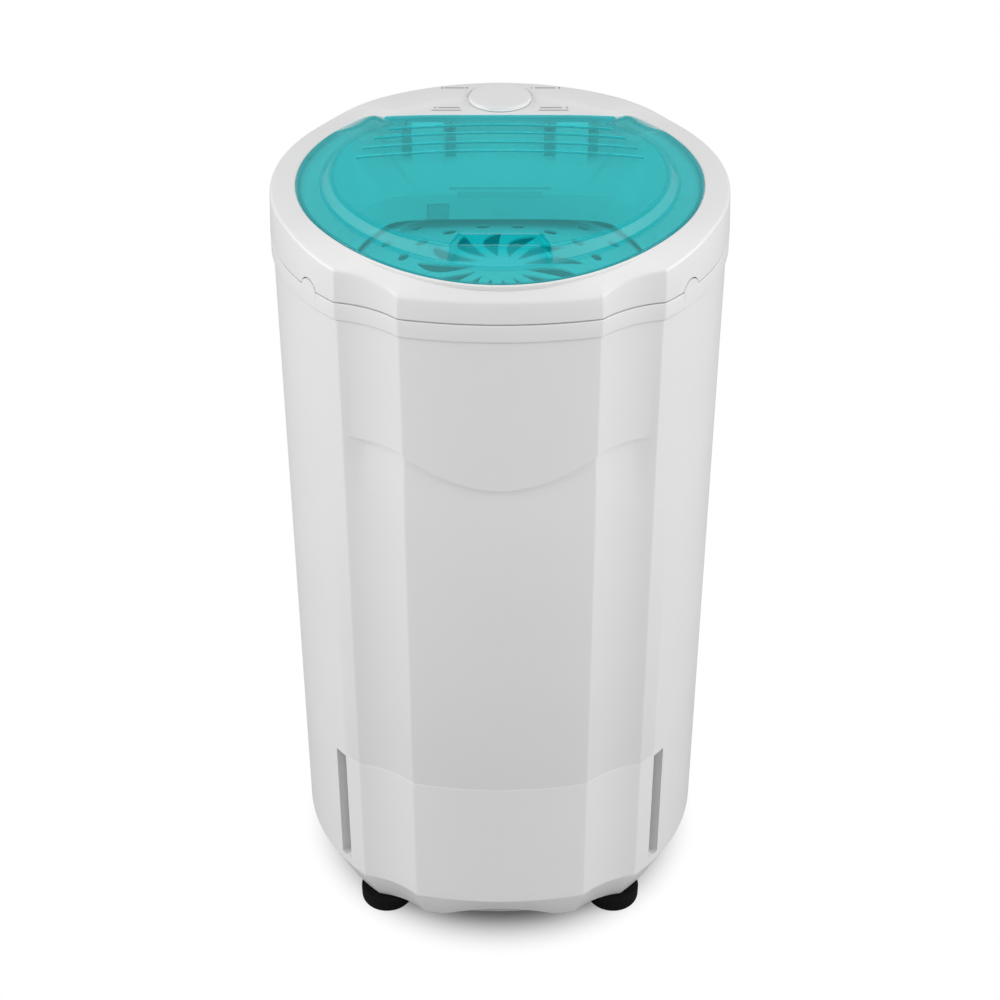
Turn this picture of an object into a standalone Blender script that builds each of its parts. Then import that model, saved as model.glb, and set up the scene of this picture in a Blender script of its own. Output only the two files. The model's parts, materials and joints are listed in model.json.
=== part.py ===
"""Compact spin dryer: a fluted cabinet with a crown, a hinged lid, a hung motor and a spinning basket."""

import math

import bmesh
import bpy
from mathutils import Matrix, Vector

# Driving sizes, in metres, with the floor at height 0 and the spin axis upright
CABINET_RADIUS = 0.1757
SEAM_HEIGHT = 0.6252
CROWN_HEIGHT = 0.0342
WALL = 0.0024
GAP = 0.0003
OVERRUN = 0.0020

# Plan outline: round at the sides and back, hollow flutes and one broad facet in front
FACET_CORNER_DEG = 25.6
SIDE_CORNER_DEG = 42.9
FACET_CORNER_SHARE = 0.9655
FACET_MIDDLE_SHARE = 0.9197
FLUTE_DEPTH_SHARE = 0.024
FACET_STEP_SHARES = (0.0, 0.26, 0.50, 0.74, 1.0)
FLUTE_STEPS = 4
ROUND_STEPS = 14

# Plan radii and places as shares of the cabinet's radius
OPENING_SHARE = 0.8902
MOUTH_SHARE = 0.6915
TUB_SHARE = 0.8537
CHORD_SHARE = 0.6477
CHORD_SAG_SHARE = 0.0398
THROAT_CHORD_SHARE = 0.4439
FOOT_PLACE_SHARE = 0.5748
MOUNT_CIRCLE_SHARE = 0.5122
SMILE_HALF_SHARE = 0.6318
FRONT_DROP_FROM_SHARE = 0.4440
FRONT_DROP_SHARES = ((0.0, 0.0), (0.2925, 0.0444), (0.4320, 0.0945), (0.5692, 0.0945))
BACK_RISE_SHARES = (0.5692, 0.8253)
OPENING_DROP_FROM_SHARE = 0.4553
OPENING_DROP_SHARE = 0.0376
OPENING_DROP_LENGTH_SHARE = 0.4280
DOME_FALL_FROM_SHARE = 0.1992

# Cabinet
SKIRT_BOTTOM = 0.0160
SKIRT_TOP = 0.0500
SKIRT_INSET = 0.0165
FOOT_TAPER = 0.0017
ARCH_HEIGHT = 0.0100
COLLAR_STAND = 0.0018
COLLAR_HEIGHT = 0.0138
COLLAR_CHAMFER = 0.0019
SMILE_DROP = 0.1432
SMILE_RISE = 0.0310
SMILE_DEPTH = 0.0009
SMILE_FADE = 0.0550
SMILE_EDGE = 0.0012
GROOVE_FROM_DEG = 48.6
GROOVE_TO_DEG = 52.9
GROOVE_EDGE_DEG = 0.3
GROOVE_BOTTOM = 0.0580
GROOVE_TOP = 0.1780
GROOVE_DEPTH = 0.0070
GROOVE_EDGE = 0.0008
TAB_DEG = 52.5
TAB_RADIUS = 0.0092
TAB_DROP = 0.0012
TAB_CLEARANCE = 0.0005
BASE_THICKNESS = 0.0030
SLOPED_WALL_SHARE = 1.25
FOOT_HEIGHT = 0.0200
FOOT_RADIUS = 0.0230
FOOT_SOLE_RADIUS = 0.0190
FOOT_NECK_RADIUS = 0.0100

# Crown
EDGE_ROUND = 0.0015
BACK_RISE = 0.0041
OPENING_RISE = 0.0026
NOTCH_DEG = 41.1
NOTCH_STEP_DEG = 0.9
RIM_INNER_SHARES = (0.848, 0.820)
RIM_SLOPE = 0.0050
RIM_EDGE_SHARE = 0.20
RIM_FOOT_SHARE = 0.40
PANEL_DEG = 36.0
PANEL_FADE_DEG = 43.0
LEDGE_DEPTH = 0.0037
LEDGE_WIDTH = 0.0059
WELL_DEPTH = 0.0150
WELL_DEG = 51.5
WELL_FADE_DEG = 58.0
FUNNEL_UPPER_DROP = 0.0220
FUNNEL_UPPER_INSET = 0.0120
FUNNEL_LOWER_DROP = 0.0440
THROAT_DROP = 0.0162
THROAT_HEIGHT = 0.0235
THROAT_CORNER_POWER = 9
BACK_SLOPE_RISE = 0.0048
BACK_SLOPE_INSET = 0.0150

# Lid and its hinge
LID_THICKNESS = 0.0024
LID_CLEARANCE = 0.0010
LID_CHORD_CLEARANCE = 0.0018
LID_NOTCH_CLEARANCE_DEG = 0.5
GRIP_HALF_DEG = 16.0
GRIP_DRAFT_DEG = 0.9
GRIP_BACK = 0.1063
GRIP_FLOOR_DROP = 0.0020
GRIP_BACK_DRAFT = 0.0010
GRIP_BEHIND_SHARE = 0.90
DOME_FOOT_INSET = 0.0190
DOME_TOP_INSET = 0.0270
DOME_RISE = 0.0090
DOME_REAR_RISE = 0.0020
DOME_REAR_TOP_INSET = 0.0048
DOME_CROWN = 0.0012
DOME_SHOULDER_SHARE = 0.75
DOME_SHOULDER_RISE_SHARE = 0.85
DOME_RING_SHARES = (0.86, 0.55, 0.20)
DOME_RISE_SHARES = (0.35, 0.80, 1.0)
HINGE_INSET = 0.0134
KNUCKLE_COVER = 0.0004
HINGE_RELIEF = 0.0038
HINGE_RELIEF_DEG = (1.0, 8.0)
PIN_RADIUS = 0.0020
PIN_CLEARANCE = 0.0002
KNUCKLE_RADIUS = 0.0036
BOSS_INNER_X = 0.0420
BOSS_OUTER_X = 0.0700
ARM_WIDTH = 0.0060
ARM_CLEARANCE = 0.0005
ARM_FRONT = 0.0120
ARM_SINK_SHARE = 0.35
BOSS_WAIST = 0.0014
BOSS_WAIST_MARGIN = 0.0010
BOSS_HEAD_DEG = 32.0
HINGE_STEPS = 8
HINGE_SIDES = 12

# Timer
KNOB_RADIUS = 0.0240
KNOB_BASE_RADIUS = 0.0250
KNOB_HEIGHT = 0.0056
KNOB_FROM_EDGE = 0.0320
POCKET_CLEARANCE = 0.0006
POCKET_DRAFT = 0.0006
POCKET_COLUMN_SHARES = (0.38, 0.70, 0.88, 0.97, 1.0)
TIMER_SHAFT_RADIUS = 0.0030
TIMER_WIDTH = 0.0360
TIMER_DEPTH = 0.0300
TIMER_HEIGHT = 0.0230

# Lid switch
SWITCH_DEG = 105.0
SWITCH_PLUNGER_FROM_EDGE = 0.0022
PLUNGER_RADIUS = 0.0012
PLUNGER_CLEARANCE = 0.0002
PLUNGER_DEPTH = 0.0070
SWITCH_RADIAL = 0.0140
SWITCH_WIDE = 0.0240
SWITCH_HEIGHT = 0.0160
SWITCH_INSET = 0.0022

# Hung drive unit
CUP_RADIUS = 0.0200
CUP_HEIGHT = 0.0080
CUP_POST_RADIUS = 0.0095
CUP_POST_HEIGHT = 0.0060
SPRING_LENGTH = 0.0650
SPRING_RADIUS = 0.0140
SPRING_WIRE = 0.0018
SPRING_TURNS = 4
SPRING_STEPS = 8
MOUNT_COUNT = 3
MOTOR_PLATE_THICKNESS = 0.0040
MOTOR_PLATE_LOBE = 0.0240
MOTOR_RADIUS = 0.0600
SHIELD_HEIGHT = 0.0150
STATOR_HEIGHT = 0.0400
STATOR_BORE = 0.0340
ROTOR_RADIUS = 0.0330
BEARING_RADIUS = 0.0110
BEARING_HEIGHT = 0.0080
SHAFT_RADIUS = 0.0060
BRAKE_DRUM_RADIUS = 0.0450
BRAKE_DRUM_HEIGHT = 0.0160
BRAKE_DRUM_LIFT = 0.0060
SHOE_GAP = 0.0015
SHOE_DEPTH = 0.0100
SHOE_WIDTH = 0.0280
LEVER_THICKNESS = 0.0040
LEVER_WIDTH = 0.0090
LEVER_REACH = 0.0500
LEVER_PIVOT_REACH = 0.0550
POST_RADIUS = 0.0030

# Tub, basket and press disc
TUB_FLOOR_LIFT = 0.0160
TUB_FLOOR_RISE = 0.0080
TUB_FLOOR_SLOPE_SHARE = 0.4
TUB_NECK_RADIUS = 0.0300
TUB_FLANGE_GAP = 0.0014
TUB_FLANGE_INSET = 0.0032
BASKET_LIFT = 0.0200
BASKET_CLEARANCE = 0.0120
NECK_INSET = 0.0245
BASKET_WALL = 0.0012
BASKET_SHOULDER = 0.0220
BASKET_RIM_WIDTH = 0.0050
BASKET_RIM_HEIGHT = 0.0080
BASKET_RIM_CLEARANCE = 0.0065
BASKET_HOLE_RADIUS = 0.0040
BASKET_HOLE_ROWS = 4
BASKET_HOLE_COLUMNS = 14
HUB_RADIUS = 0.0240
HUB_HEIGHT = 0.0300
NUT_RADIUS = 0.0120
NUT_HEIGHT = 0.0080
DISC_CLEARANCE = 0.0010
DISC_THICKNESS = 0.0030
DISC_SKIRT = 0.0100
DISC_ABOVE_RIM = 0.0020
PETAL_COUNT = 14
PETAL_INNER = 0.0270
PETAL_OUTER = 0.0640
PETAL_WIDTH = 0.0085
OVAL_CIRCLE = 0.0800
OVAL_LENGTH = 0.0120
OVAL_WIDTH = 0.0085

# Small service parts
CAPACITOR_RADIUS = 0.0175
CAPACITOR_HEIGHT = 0.0600
CAPACITOR_DEG = 150.0
CAPACITOR_CIRCLE = 0.1150
SPOUT_DEG = 204.0
GLAND_DEG = 156.0
FITTING_RISE = 0.0050
SPOUT_RADIUS = 0.0100
SPOUT_BORE = 0.0070
SPOUT_BARB = 0.0010
SPOUT_OUTSIDE = 0.0100
SPOUT_INSIDE = 0.0200
PIPE_START = 0.0020
PIPE_BEND = 0.0240
PIPE_BEND_STEPS = 5
GLAND_RADIUS = 0.0090
GLAND_BORE = 0.0040
GLAND_FLANGE = 0.0025

# Facets, steps and smoothing
MERGE_DISTANCE = 0.00001
LEAST_COLUMN_DEG = 1.5
SMOOTH_DEG = 27.0
TUB_SMOOTH_DEG = 35.0
LID_STEP_DEG = 9.0
PIN_SIDES = 12
CUP_SIDES = 14
ROUND_SIDES = 16
BORE_SIDES = 20
MOTOR_SIDES = 24
KNOB_SIDES = 28
DRUM_SIDES = 32
BASKET_SIDES = 36
DISC_SIDES = 40
SHOE_SIDES = 96
NUT_SIDES = 6
HOLE_SIDES = 6
OVAL_SIDES = 6
PETAL_SIDES = 10
LEVER_END_STEPS = 8
PLATE_LOBE_STEPS = 6

# Lesser shares and counts
SMILE_BEND_SHARE = 0.55
SMILE_END_SHARES = (0.9, 1.06)
FOOT_TOP_SHARE = 0.92
FOOT_HIGH_SHARES = (0.86, 0.55, 0.20)
FOOT_WAIST_SHARE = 0.95
FUNNEL_LOWER_SHARE = 0.30
PLATE_LOBE_DEG = 60.0
TUB_LIP_WALLS = 1.5
HOLE_ROW_SHOULDERS = (1.5, 2.5)
HUB_BORE_SHARE = 0.75
HUB_FLANGE_SHARE = 1.5
SPOUT_BARBS_LENGTH_SHARE = 6.0

# Radii and heights that follow from the driving sizes
COLLAR_RADIUS = CABINET_RADIUS + COLLAR_STAND
CROWN_RADIUS = COLLAR_RADIUS - EDGE_ROUND
OPENING_RADIUS = CABINET_RADIUS * OPENING_SHARE
MOUTH_RADIUS = CABINET_RADIUS * MOUTH_SHARE
TUB_RADIUS = CABINET_RADIUS * TUB_SHARE
BASKET_RADIUS = TUB_RADIUS - BASKET_CLEARANCE
NECK_RADIUS = BASKET_RADIUS - NECK_INSET
CHORD_FROM_AXIS = CABINET_RADIUS * CHORD_SHARE
CHORD_SAG = CABINET_RADIUS * CHORD_SAG_SHARE
THROAT_CHORD = CABINET_RADIUS * THROAT_CHORD_SHARE
FOOT_PLACE = CABINET_RADIUS * FOOT_PLACE_SHARE
MOUNT_CIRCLE = CABINET_RADIUS * MOUNT_CIRCLE_SHARE
HINGE_Y = CHORD_FROM_AXIS - HINGE_INSET
TIMER_Y = CROWN_RADIUS - KNOB_FROM_EDGE
RIM_HEIGHT = SEAM_HEIGHT + CROWN_HEIGHT
LID_PLANE = RIM_HEIGHT + OPENING_RISE
DOME_HEIGHT = LID_PLANE + DOME_RISE
DOME_REAR_HEIGHT = LID_PLANE + DOME_REAR_RISE
HINGE_Z = LID_PLANE - KNUCKLE_RADIUS - KNUCKLE_COVER
COLLAR_BOTTOM = SEAM_HEIGHT - COLLAR_HEIGHT
CROWN_BOTTOM = SEAM_HEIGHT + GAP
THROAT_TOP = SEAM_HEIGHT - THROAT_DROP
THROAT_BOTTOM = THROAT_TOP - THROAT_HEIGHT
BACK_SLOPE_TOP = SEAM_HEIGHT + BACK_SLOPE_RISE
SMILE_HALF_WIDTH = CABINET_RADIUS * SMILE_HALF_SHARE
SMILE_LOW = SEAM_HEIGHT - SMILE_DROP
SMILE_HIGH = SMILE_LOW + SMILE_RISE

# Heights that follow from the stack on the base plate
BASE_BOTTOM = FOOT_HEIGHT + GAP
BASE_TOP = BASE_BOTTOM + BASE_THICKNESS
LOWER_CUP_BOTTOM = BASE_TOP + GAP
SPRING_BOTTOM = LOWER_CUP_BOTTOM + CUP_HEIGHT + GAP
SPRING_TOP = SPRING_BOTTOM + SPRING_LENGTH
UPPER_CUP_BOTTOM = SPRING_TOP + GAP
MOTOR_PLATE_BOTTOM = UPPER_CUP_BOTTOM + CUP_HEIGHT + GAP
MOTOR_PLATE_TOP = MOTOR_PLATE_BOTTOM + MOTOR_PLATE_THICKNESS
LOWER_SHIELD_BOTTOM = MOTOR_PLATE_TOP + GAP
STATOR_BOTTOM = LOWER_SHIELD_BOTTOM + SHIELD_HEIGHT + GAP
UPPER_SHIELD_BOTTOM = STATOR_BOTTOM + STATOR_HEIGHT + GAP
UPPER_SHIELD_TOP = UPPER_SHIELD_BOTTOM + SHIELD_HEIGHT
BRAKE_DRUM_BOTTOM = UPPER_SHIELD_TOP + BRAKE_DRUM_LIFT
BRAKE_DRUM_TOP = BRAKE_DRUM_BOTTOM + BRAKE_DRUM_HEIGHT
TUB_FLOOR = BRAKE_DRUM_TOP + TUB_FLOOR_LIFT
TUB_NECK_TOP = TUB_FLOOR + TUB_FLOOR_RISE
BASKET_BOTTOM = TUB_NECK_TOP + BASKET_LIFT
BASKET_RIM_TOP = THROAT_BOTTOM - BASKET_RIM_CLEARANCE
DISC_TOP = BASKET_RIM_TOP + DISC_ABOVE_RIM
FITTING_HEIGHT = SKIRT_TOP + FITTING_RISE + max(SPOUT_RADIUS, GLAND_RADIUS + GLAND_FLANGE)
FRAME_Y = (FACET_MIDDLE_SHARE * COLLAR_RADIUS - COLLAR_RADIUS) / 2

WHITE = ("white_plastic", (0.86, 0.86, 0.86), 0.38, 0.0)
TEAL = ("teal_plastic", (0.05, 0.55, 0.56), 0.12, 0.0)
DISC_WHITE = ("white_disc_plastic", (0.80, 0.82, 0.82), 0.40, 0.0)
BLACK_RUBBER = ("black_rubber", (0.01, 0.01, 0.01), 0.60, 0.0)
GREY_PLASTIC = ("grey_plastic", (0.45, 0.46, 0.47), 0.50, 0.0)
BLACK_PLASTIC = ("black_plastic", (0.03, 0.03, 0.03), 0.45, 0.0)
STEEL = ("steel", (0.62, 0.62, 0.62), 0.28, 1.0)
STAINLESS = ("stainless_steel", (0.72, 0.72, 0.72), 0.22, 1.0)
CAST_ALUMINIUM = ("cast_aluminium", (0.66, 0.67, 0.68), 0.45, 1.0)
PAINTED_STEEL = ("painted_steel", (0.16, 0.17, 0.18), 0.42, 0.0)


# Shared tools


def clear_scene():
    for item in list(bpy.data.objects):
        bpy.data.objects.remove(item, do_unlink=True)


def new_collection(name):
    collection = bpy.data.collections.new(name)
    bpy.context.scene.collection.children.link(collection)
    return collection


def material(spec):
    name, colour, roughness, metallic = spec
    made = bpy.data.materials.get(name)
    if made is None:
        made = bpy.data.materials.new(name)
        made.use_nodes = True
        shader = made.node_tree.nodes["Principled BSDF"]
        shader.inputs["Base Color"].default_value = (*colour, 1.0)
        shader.inputs["Roughness"].default_value = roughness
        shader.inputs["Metallic"].default_value = metallic
    return made


def add_empty(name, location, parent=None):
    empty = bpy.data.objects.new(name, None)
    empty.location = location
    empty.parent = parent
    bpy.context.scene.collection.objects.link(empty)
    return empty


def add_object(name, data, spec=None, parent=None, collection=None):
    made = bpy.data.objects.new(name, data)
    (collection or PARTS).objects.link(made)
    made.parent = parent
    if spec:
        data.materials.append(material(spec))
    return made


def add_mesh(name, bm, spec, parent, smooth_deg=None):
    """A bmesh becomes an object; its points are already measured from the parent's origin."""
    bmesh.ops.recalc_face_normals(bm, faces=bm.faces)
    mesh = bpy.data.meshes.new(name)
    bm.to_mesh(mesh)
    bm.free()
    if smooth_deg:
        mesh.shade_smooth()
        mesh.set_sharp_from_angle(angle=math.radians(smooth_deg))
    return add_object(name, mesh, spec, parent)


def add_cutter(name, bm, parent):
    made = add_mesh(name, bm, None, parent)
    PARTS.objects.unlink(made)
    CUTTERS.objects.link(made)
    made.hide_render = True
    made.display_type = "WIRE"
    return made


def boolean(target, tool, operation="DIFFERENCE", solver="EXACT"):
    step = target.modifiers.new(tool.name, "BOOLEAN")
    step.operation = operation
    step.solver = solver
    step.object = tool


def solidify(target, thickness):
    wall = target.modifiers.new("wall", "SOLIDIFY")
    wall.thickness = thickness
    wall.offset = -1.0
    wall.use_even_offset = True
    wall.use_rim = True


def turned(name, profile, steps, spec, parent, collection=None):
    """A closed (radius, height) profile, outer side from top to bottom, turned round the upright axis."""
    mesh = bpy.data.meshes.new(name)
    points = [(radius, 0.0, height) for radius, height in profile]
    open_profile = profile[0][0] == 0.0
    last = len(points) - 1
    edges = [(i, i + 1) for i in range(last)]
    if not open_profile:
        edges.append((last, 0))
    mesh.from_pydata(points, edges, [])
    made = add_object(name, mesh, spec, parent, collection)
    turn = made.modifiers.new("turn", "SCREW")
    turn.axis = "Z"
    turn.angle = math.tau
    turn.steps = steps
    turn.render_steps = steps
    turn.use_merge_vertices = True
    turn.merge_threshold = MERGE_DISTANCE
    turn.use_smooth_shade = True
    return made


def turned_cutter(name, profile, steps, parent):
    made = turned(name, profile, steps, None, parent, CUTTERS)
    made.hide_render = True
    made.display_type = "WIRE"
    return made


def ring_profile(inner, outer, bottom, top):
    return [(outer, top), (outer, bottom), (inner, bottom), (inner, top)]


def rod_profile(radius, bottom, top):
    return [(0.0, top), (radius, top), (radius, bottom), (0.0, bottom)]


def box_bm(low, high):
    bm = bmesh.new()
    bmesh.ops.create_cube(bm, size=1.0)
    size = [b - a for a, b in zip(low, high)]
    middle = [(a + b) / 2 for a, b in zip(low, high)]
    bmesh.ops.scale(bm, vec=size, verts=bm.verts)
    bmesh.ops.translate(bm, vec=middle, verts=bm.verts)
    return bm


def rod_bm(radius, start, end, segments):
    """A cylinder between two points."""
    start, end = Vector(start), Vector(end)
    along = end - start
    bm = bmesh.new()
    bmesh.ops.create_cone(
        bm, cap_ends=True, segments=segments, radius1=radius, radius2=radius, depth=along.length
    )
    turn = along.to_track_quat("Z", "Y").to_matrix().to_4x4()
    half_side = Matrix.Rotation(math.pi / segments, 4, "Z")
    bmesh.ops.transform(bm, matrix=Matrix.Translation((start + end) / 2) @ turn @ half_side, verts=bm.verts)
    return bm


def prism_bm(outline, low, high, axis="Z"):
    """An outline of (u, v) points drawn out along an axis: Z takes (x, y), X takes (y, z)."""
    bm = bmesh.new()
    rows = []
    for level in (low, high):
        if axis == "Z":
            rows.append([bm.verts.new((u, v, level)) for u, v in outline])
        else:
            rows.append([bm.verts.new((level, u, v)) for u, v in outline])
    count = len(outline)
    bm.faces.new(rows[0])
    bm.faces.new(rows[1])
    for i in range(count):
        j = (i + 1) % count
        bm.faces.new((rows[0][i], rows[0][j], rows[1][j], rows[1][i]))
    return bm


def loft_bm(rings, closed_ends=False):
    """Rings with one count of points each, joined side by side into an open surface."""
    bm = bmesh.new()
    rows = [[bm.verts.new(point) for point in ring] for ring in rings]
    count = len(rows[0])
    for lower, upper in zip(rows, rows[1:]):
        for i in range(count):
            j = (i + 1) % count
            bm.faces.new((lower[i], lower[j], upper[j], upper[i]))
    if closed_ends:
        bm.faces.new(rows[-1])
    return bm


def outward_mesh(name, bm, spec, parent, smooth_deg):
    """An open surface keeps the way its faces were wound, because it has no inside to measure from."""
    mesh = bpy.data.meshes.new(name)
    bm.to_mesh(mesh)
    bm.free()
    mesh.shade_smooth()
    mesh.set_sharp_from_angle(angle=math.radians(smooth_deg))
    return add_object(name, mesh, spec, parent)


def tube(name, points, radius, spec, parent, resolution=2, cyclic=False):
    data = bpy.data.curves.new(name, "CURVE")
    data.dimensions = "3D"
    data.bevel_depth = radius
    data.bevel_resolution = resolution
    data.use_fill_caps = True
    line = data.splines.new("POLY")
    line.points.add(len(points) - 1)
    for target, point in zip(line.points, points):
        target.co = (*point, 1.0)
    line.use_cyclic_u = cyclic
    return add_object(name, data, spec, parent)


def smoothstep(value, start, end):
    share = min(max((value - start) / (end - start), 0.0), 1.0)
    return share * share * (3 - 2 * share)


def mix(a, b, share):
    return a + (b - a) * share


# Plan outline of the cabinet and crown


def polar(degrees, radius):
    """A plan point at an angle measured from the front, which faces -Y."""
    angle = math.radians(degrees)
    return (radius * math.sin(angle), -radius * math.cos(angle))


def flute_point(share):
    """A point of the hollow flute, from its facet corner (0) to its side corner (1), on a unit outline."""
    start = Vector(polar(FACET_CORNER_DEG, FACET_CORNER_SHARE))
    end = Vector(polar(SIDE_CORNER_DEG, 1.0))
    along = (end - start).normalized()
    inward = Vector((-along.y, along.x))
    hollow = 4 * FLUTE_DEPTH_SHARE * share * (1 - share)
    return start.lerp(end, share) + inward * hollow


def facet_point(share):
    """A point of the front facet, from its middle (0) to its corner (1), on a unit outline."""
    corner = polar(FACET_CORNER_DEG, FACET_CORNER_SHARE)
    front = -FACET_MIDDLE_SHARE
    return Vector((corner[0] * share, mix(front, corner[1], share * share)))


def plan_half(extra_degrees):
    """Unit plan points from the front round one side to the back, with extra columns on the round part."""
    points = [facet_point(share) for share in FACET_STEP_SHARES]
    points += [flute_point(step / FLUTE_STEPS) for step in range(1, FLUTE_STEPS + 1)]
    sweep = 180.0 - SIDE_CORNER_DEG
    degrees = [SIDE_CORNER_DEG + sweep * step / ROUND_STEPS for step in range(1, ROUND_STEPS + 1)]
    nearest = min(abs(a - b) for a, b in zip(extra_degrees, extra_degrees[1:])) if extra_degrees else 0
    keep = [d for d in degrees if all(abs(d - e) > max(nearest, LEAST_COLUMN_DEG) for e in extra_degrees)]
    for degree in sorted(set(keep + [180.0] + list(extra_degrees))):
        points.append(Vector(polar(degree, 1.0)))
    return points


def plan(extra_degrees=()):
    """The whole unit outline, as (x, y) points that run round from the front middle."""
    half = plan_half(list(extra_degrees))
    mirrored = [Vector((-point.x, point.y)) for point in reversed(half[1:-1])]
    return half + mirrored


def angle_from_back(point):
    return math.degrees(math.atan2(abs(point[0]), point[1]))


# Cabinet shell, base and feet


def smile_height(x):
    """Height of the curved relief line on the front."""
    share = min(abs(x) / SMILE_HALF_WIDTH, 1.0)
    return mix(SMILE_LOW, SMILE_HIGH, mix(share, share * share * (3 - 2 * share), SMILE_BEND_SHARE))


def smile_strength(point):
    return 1.0 - smoothstep(abs(point[0]), *[SMILE_HALF_WIDTH * share for share in SMILE_END_SHARES])


def cabinet_radius_at(height):
    share = (height - SKIRT_TOP) / (COLLAR_BOTTOM - SKIRT_TOP)
    return mix(CABINET_RADIUS - FOOT_TAPER, CABINET_RADIUS, share)


def in_groove(point):
    degrees = 180.0 - angle_from_back(point)
    return GROOVE_FROM_DEG - GROOVE_EDGE_DEG / 2 < degrees < GROOVE_TO_DEG + GROOVE_EDGE_DEG / 2


def groove_columns():
    half = GROOVE_EDGE_DEG
    return [GROOVE_FROM_DEG - half, GROOVE_FROM_DEG, GROOVE_TO_DEG, GROOVE_TO_DEG + half]


def cabinet_ring(unit, height, inset=0.0, groove=0.0):
    ring = []
    for point in unit:
        radius = cabinet_radius_at(height) - inset
        if groove and in_groove(point):
            radius -= groove
        ring.append((point[0] * radius, point[1] * radius, height))
    return ring


def smile_ring(unit, offset, depth):
    ring = []
    for point in unit:
        front = point[1] < 0
        x = point[0] * CABINET_RADIUS
        height = (smile_height(x) if front else SMILE_HIGH) + offset
        radius = cabinet_radius_at(height)
        if front:
            radius -= depth * smile_strength((x, 0))
        ring.append((point[0] * radius, point[1] * radius, height))
    return ring


def skirt_height(point):
    """Height of the skirt's lower edge, which arches up in the middle of the front."""
    arch_half = FACET_STEP_SHARES[3] * FACET_CORNER_SHARE * math.sin(math.radians(FACET_CORNER_DEG))
    share = abs(point[0]) / arch_half
    return SKIRT_BOTTOM + (ARCH_HEIGHT * (1 - share * share) if point[1] < 0 and share < 1 else 0.0)


def skirt_radius(point, height):
    """Outer plan radius of the drawn-in skirt at a height, on a plan point's own column."""
    edge = skirt_height(point)
    share = max(height - edge, 0.0) / (SKIRT_TOP - edge)
    return CABINET_RADIUS - FOOT_TAPER - SKIRT_INSET * (1 - share)


def skirt_ring(unit):
    radius = CABINET_RADIUS - FOOT_TAPER - SKIRT_INSET
    return [(point[0] * radius, point[1] * radius, skirt_height(point)) for point in unit]


def tab_bm(clearance, inner, outer):
    """Both half-round tabs of the collar, or with a clearance the notches that they rise into."""
    bm = bmesh.new()
    for side in (-1, 1):
        x, y = polar(side * TAB_DEG, 1.0)
        height = SEAM_HEIGHT - TAB_DROP
        start = (x * inner, y * inner, height)
        end = (x * outer, y * outer, height)
        one = rod_bm(TAB_RADIUS + clearance, start, end, BORE_SIDES)
        mesh = bpy.data.meshes.new("tab")
        one.to_mesh(mesh)
        one.free()
        bm.from_mesh(mesh)
        bpy.data.meshes.remove(mesh)
    return bm


def make_cabinet(root):
    unit = plan(groove_columns())
    rings = [
        skirt_ring(unit),
        cabinet_ring(unit, SKIRT_TOP),
        cabinet_ring(unit, GROOVE_BOTTOM),
        cabinet_ring(unit, GROOVE_BOTTOM + GROOVE_EDGE, groove=GROOVE_DEPTH),
        cabinet_ring(unit, GROOVE_TOP, groove=GROOVE_DEPTH),
        cabinet_ring(unit, GROOVE_TOP + GROOVE_EDGE),
        smile_ring(unit, -SMILE_FADE, 0.0),
        smile_ring(unit, 0.0, SMILE_DEPTH),
        smile_ring(unit, SMILE_EDGE, 0.0),
        cabinet_ring(unit, COLLAR_BOTTOM - COLLAR_CHAMFER),
        [(p[0] * COLLAR_RADIUS, p[1] * COLLAR_RADIUS, COLLAR_BOTTOM) for p in unit],
        [(p[0] * COLLAR_RADIUS, p[1] * COLLAR_RADIUS, SEAM_HEIGHT) for p in unit],
    ]
    shell = outward_mesh("body_shell", loft_bm(rings), WHITE, root, SMOOTH_DEG)
    solidify(shell, WALL)
    tabs = add_cutter("collar_tabs", tab_bm(0.0, COLLAR_RADIUS - WALL, COLLAR_RADIUS), root)
    boolean(shell, tabs, "UNION")
    holes = (("spout_hole", SPOUT_DEG, SPOUT_RADIUS), ("gland_hole", GLAND_DEG, GLAND_RADIUS))
    for name, degrees, radius in holes:
        start = (*polar(degrees, CABINET_RADIUS - WALL * 3), FITTING_HEIGHT)
        end = (*polar(degrees, CABINET_RADIUS + WALL), FITTING_HEIGHT)
        boolean(shell, add_cutter(name, rod_bm(radius + GAP, start, end, BORE_SIDES), root))


def make_base(root):
    """Base plate that closes the skirt and carries the springs and feet."""
    outline = []
    for point in plan():
        radius = skirt_radius(point, BASE_BOTTOM) - WALL * SLOPED_WALL_SHARE - GAP
        outline.append((point[0] * radius, point[1] * radius))
    bm = prism_bm(outline, BASE_BOTTOM, BASE_TOP)
    add_mesh("base_plate", bm, GREY_PLASTIC, root)


def make_feet(root):
    for depth, row in ((-1, "front"), (1, "back")):
        for side, hand in ((-1, "left"), (1, "right")):
            shoulder = SKIRT_BOTTOM - GAP
            profile = [
                (0.0, FOOT_HEIGHT),
                (FOOT_NECK_RADIUS, FOOT_HEIGHT),
                (FOOT_NECK_RADIUS, shoulder),
                (FOOT_RADIUS * FOOT_TOP_SHARE, shoulder),
                (FOOT_RADIUS, shoulder * FOOT_HIGH_SHARES[0]),
                (FOOT_RADIUS, shoulder * FOOT_HIGH_SHARES[1]),
                (FOOT_RADIUS * FOOT_WAIST_SHARE, shoulder * FOOT_HIGH_SHARES[2]),
                (FOOT_SOLE_RADIUS, 0.0),
                (0.0, 0.0),
            ]
            foot = turned(f"foot_{row}_{hand}", profile, BORE_SIDES, BLACK_RUBBER, root)
            foot.location = (side * FOOT_PLACE, depth * FOOT_PLACE, 0.0)


# Crown


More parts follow.
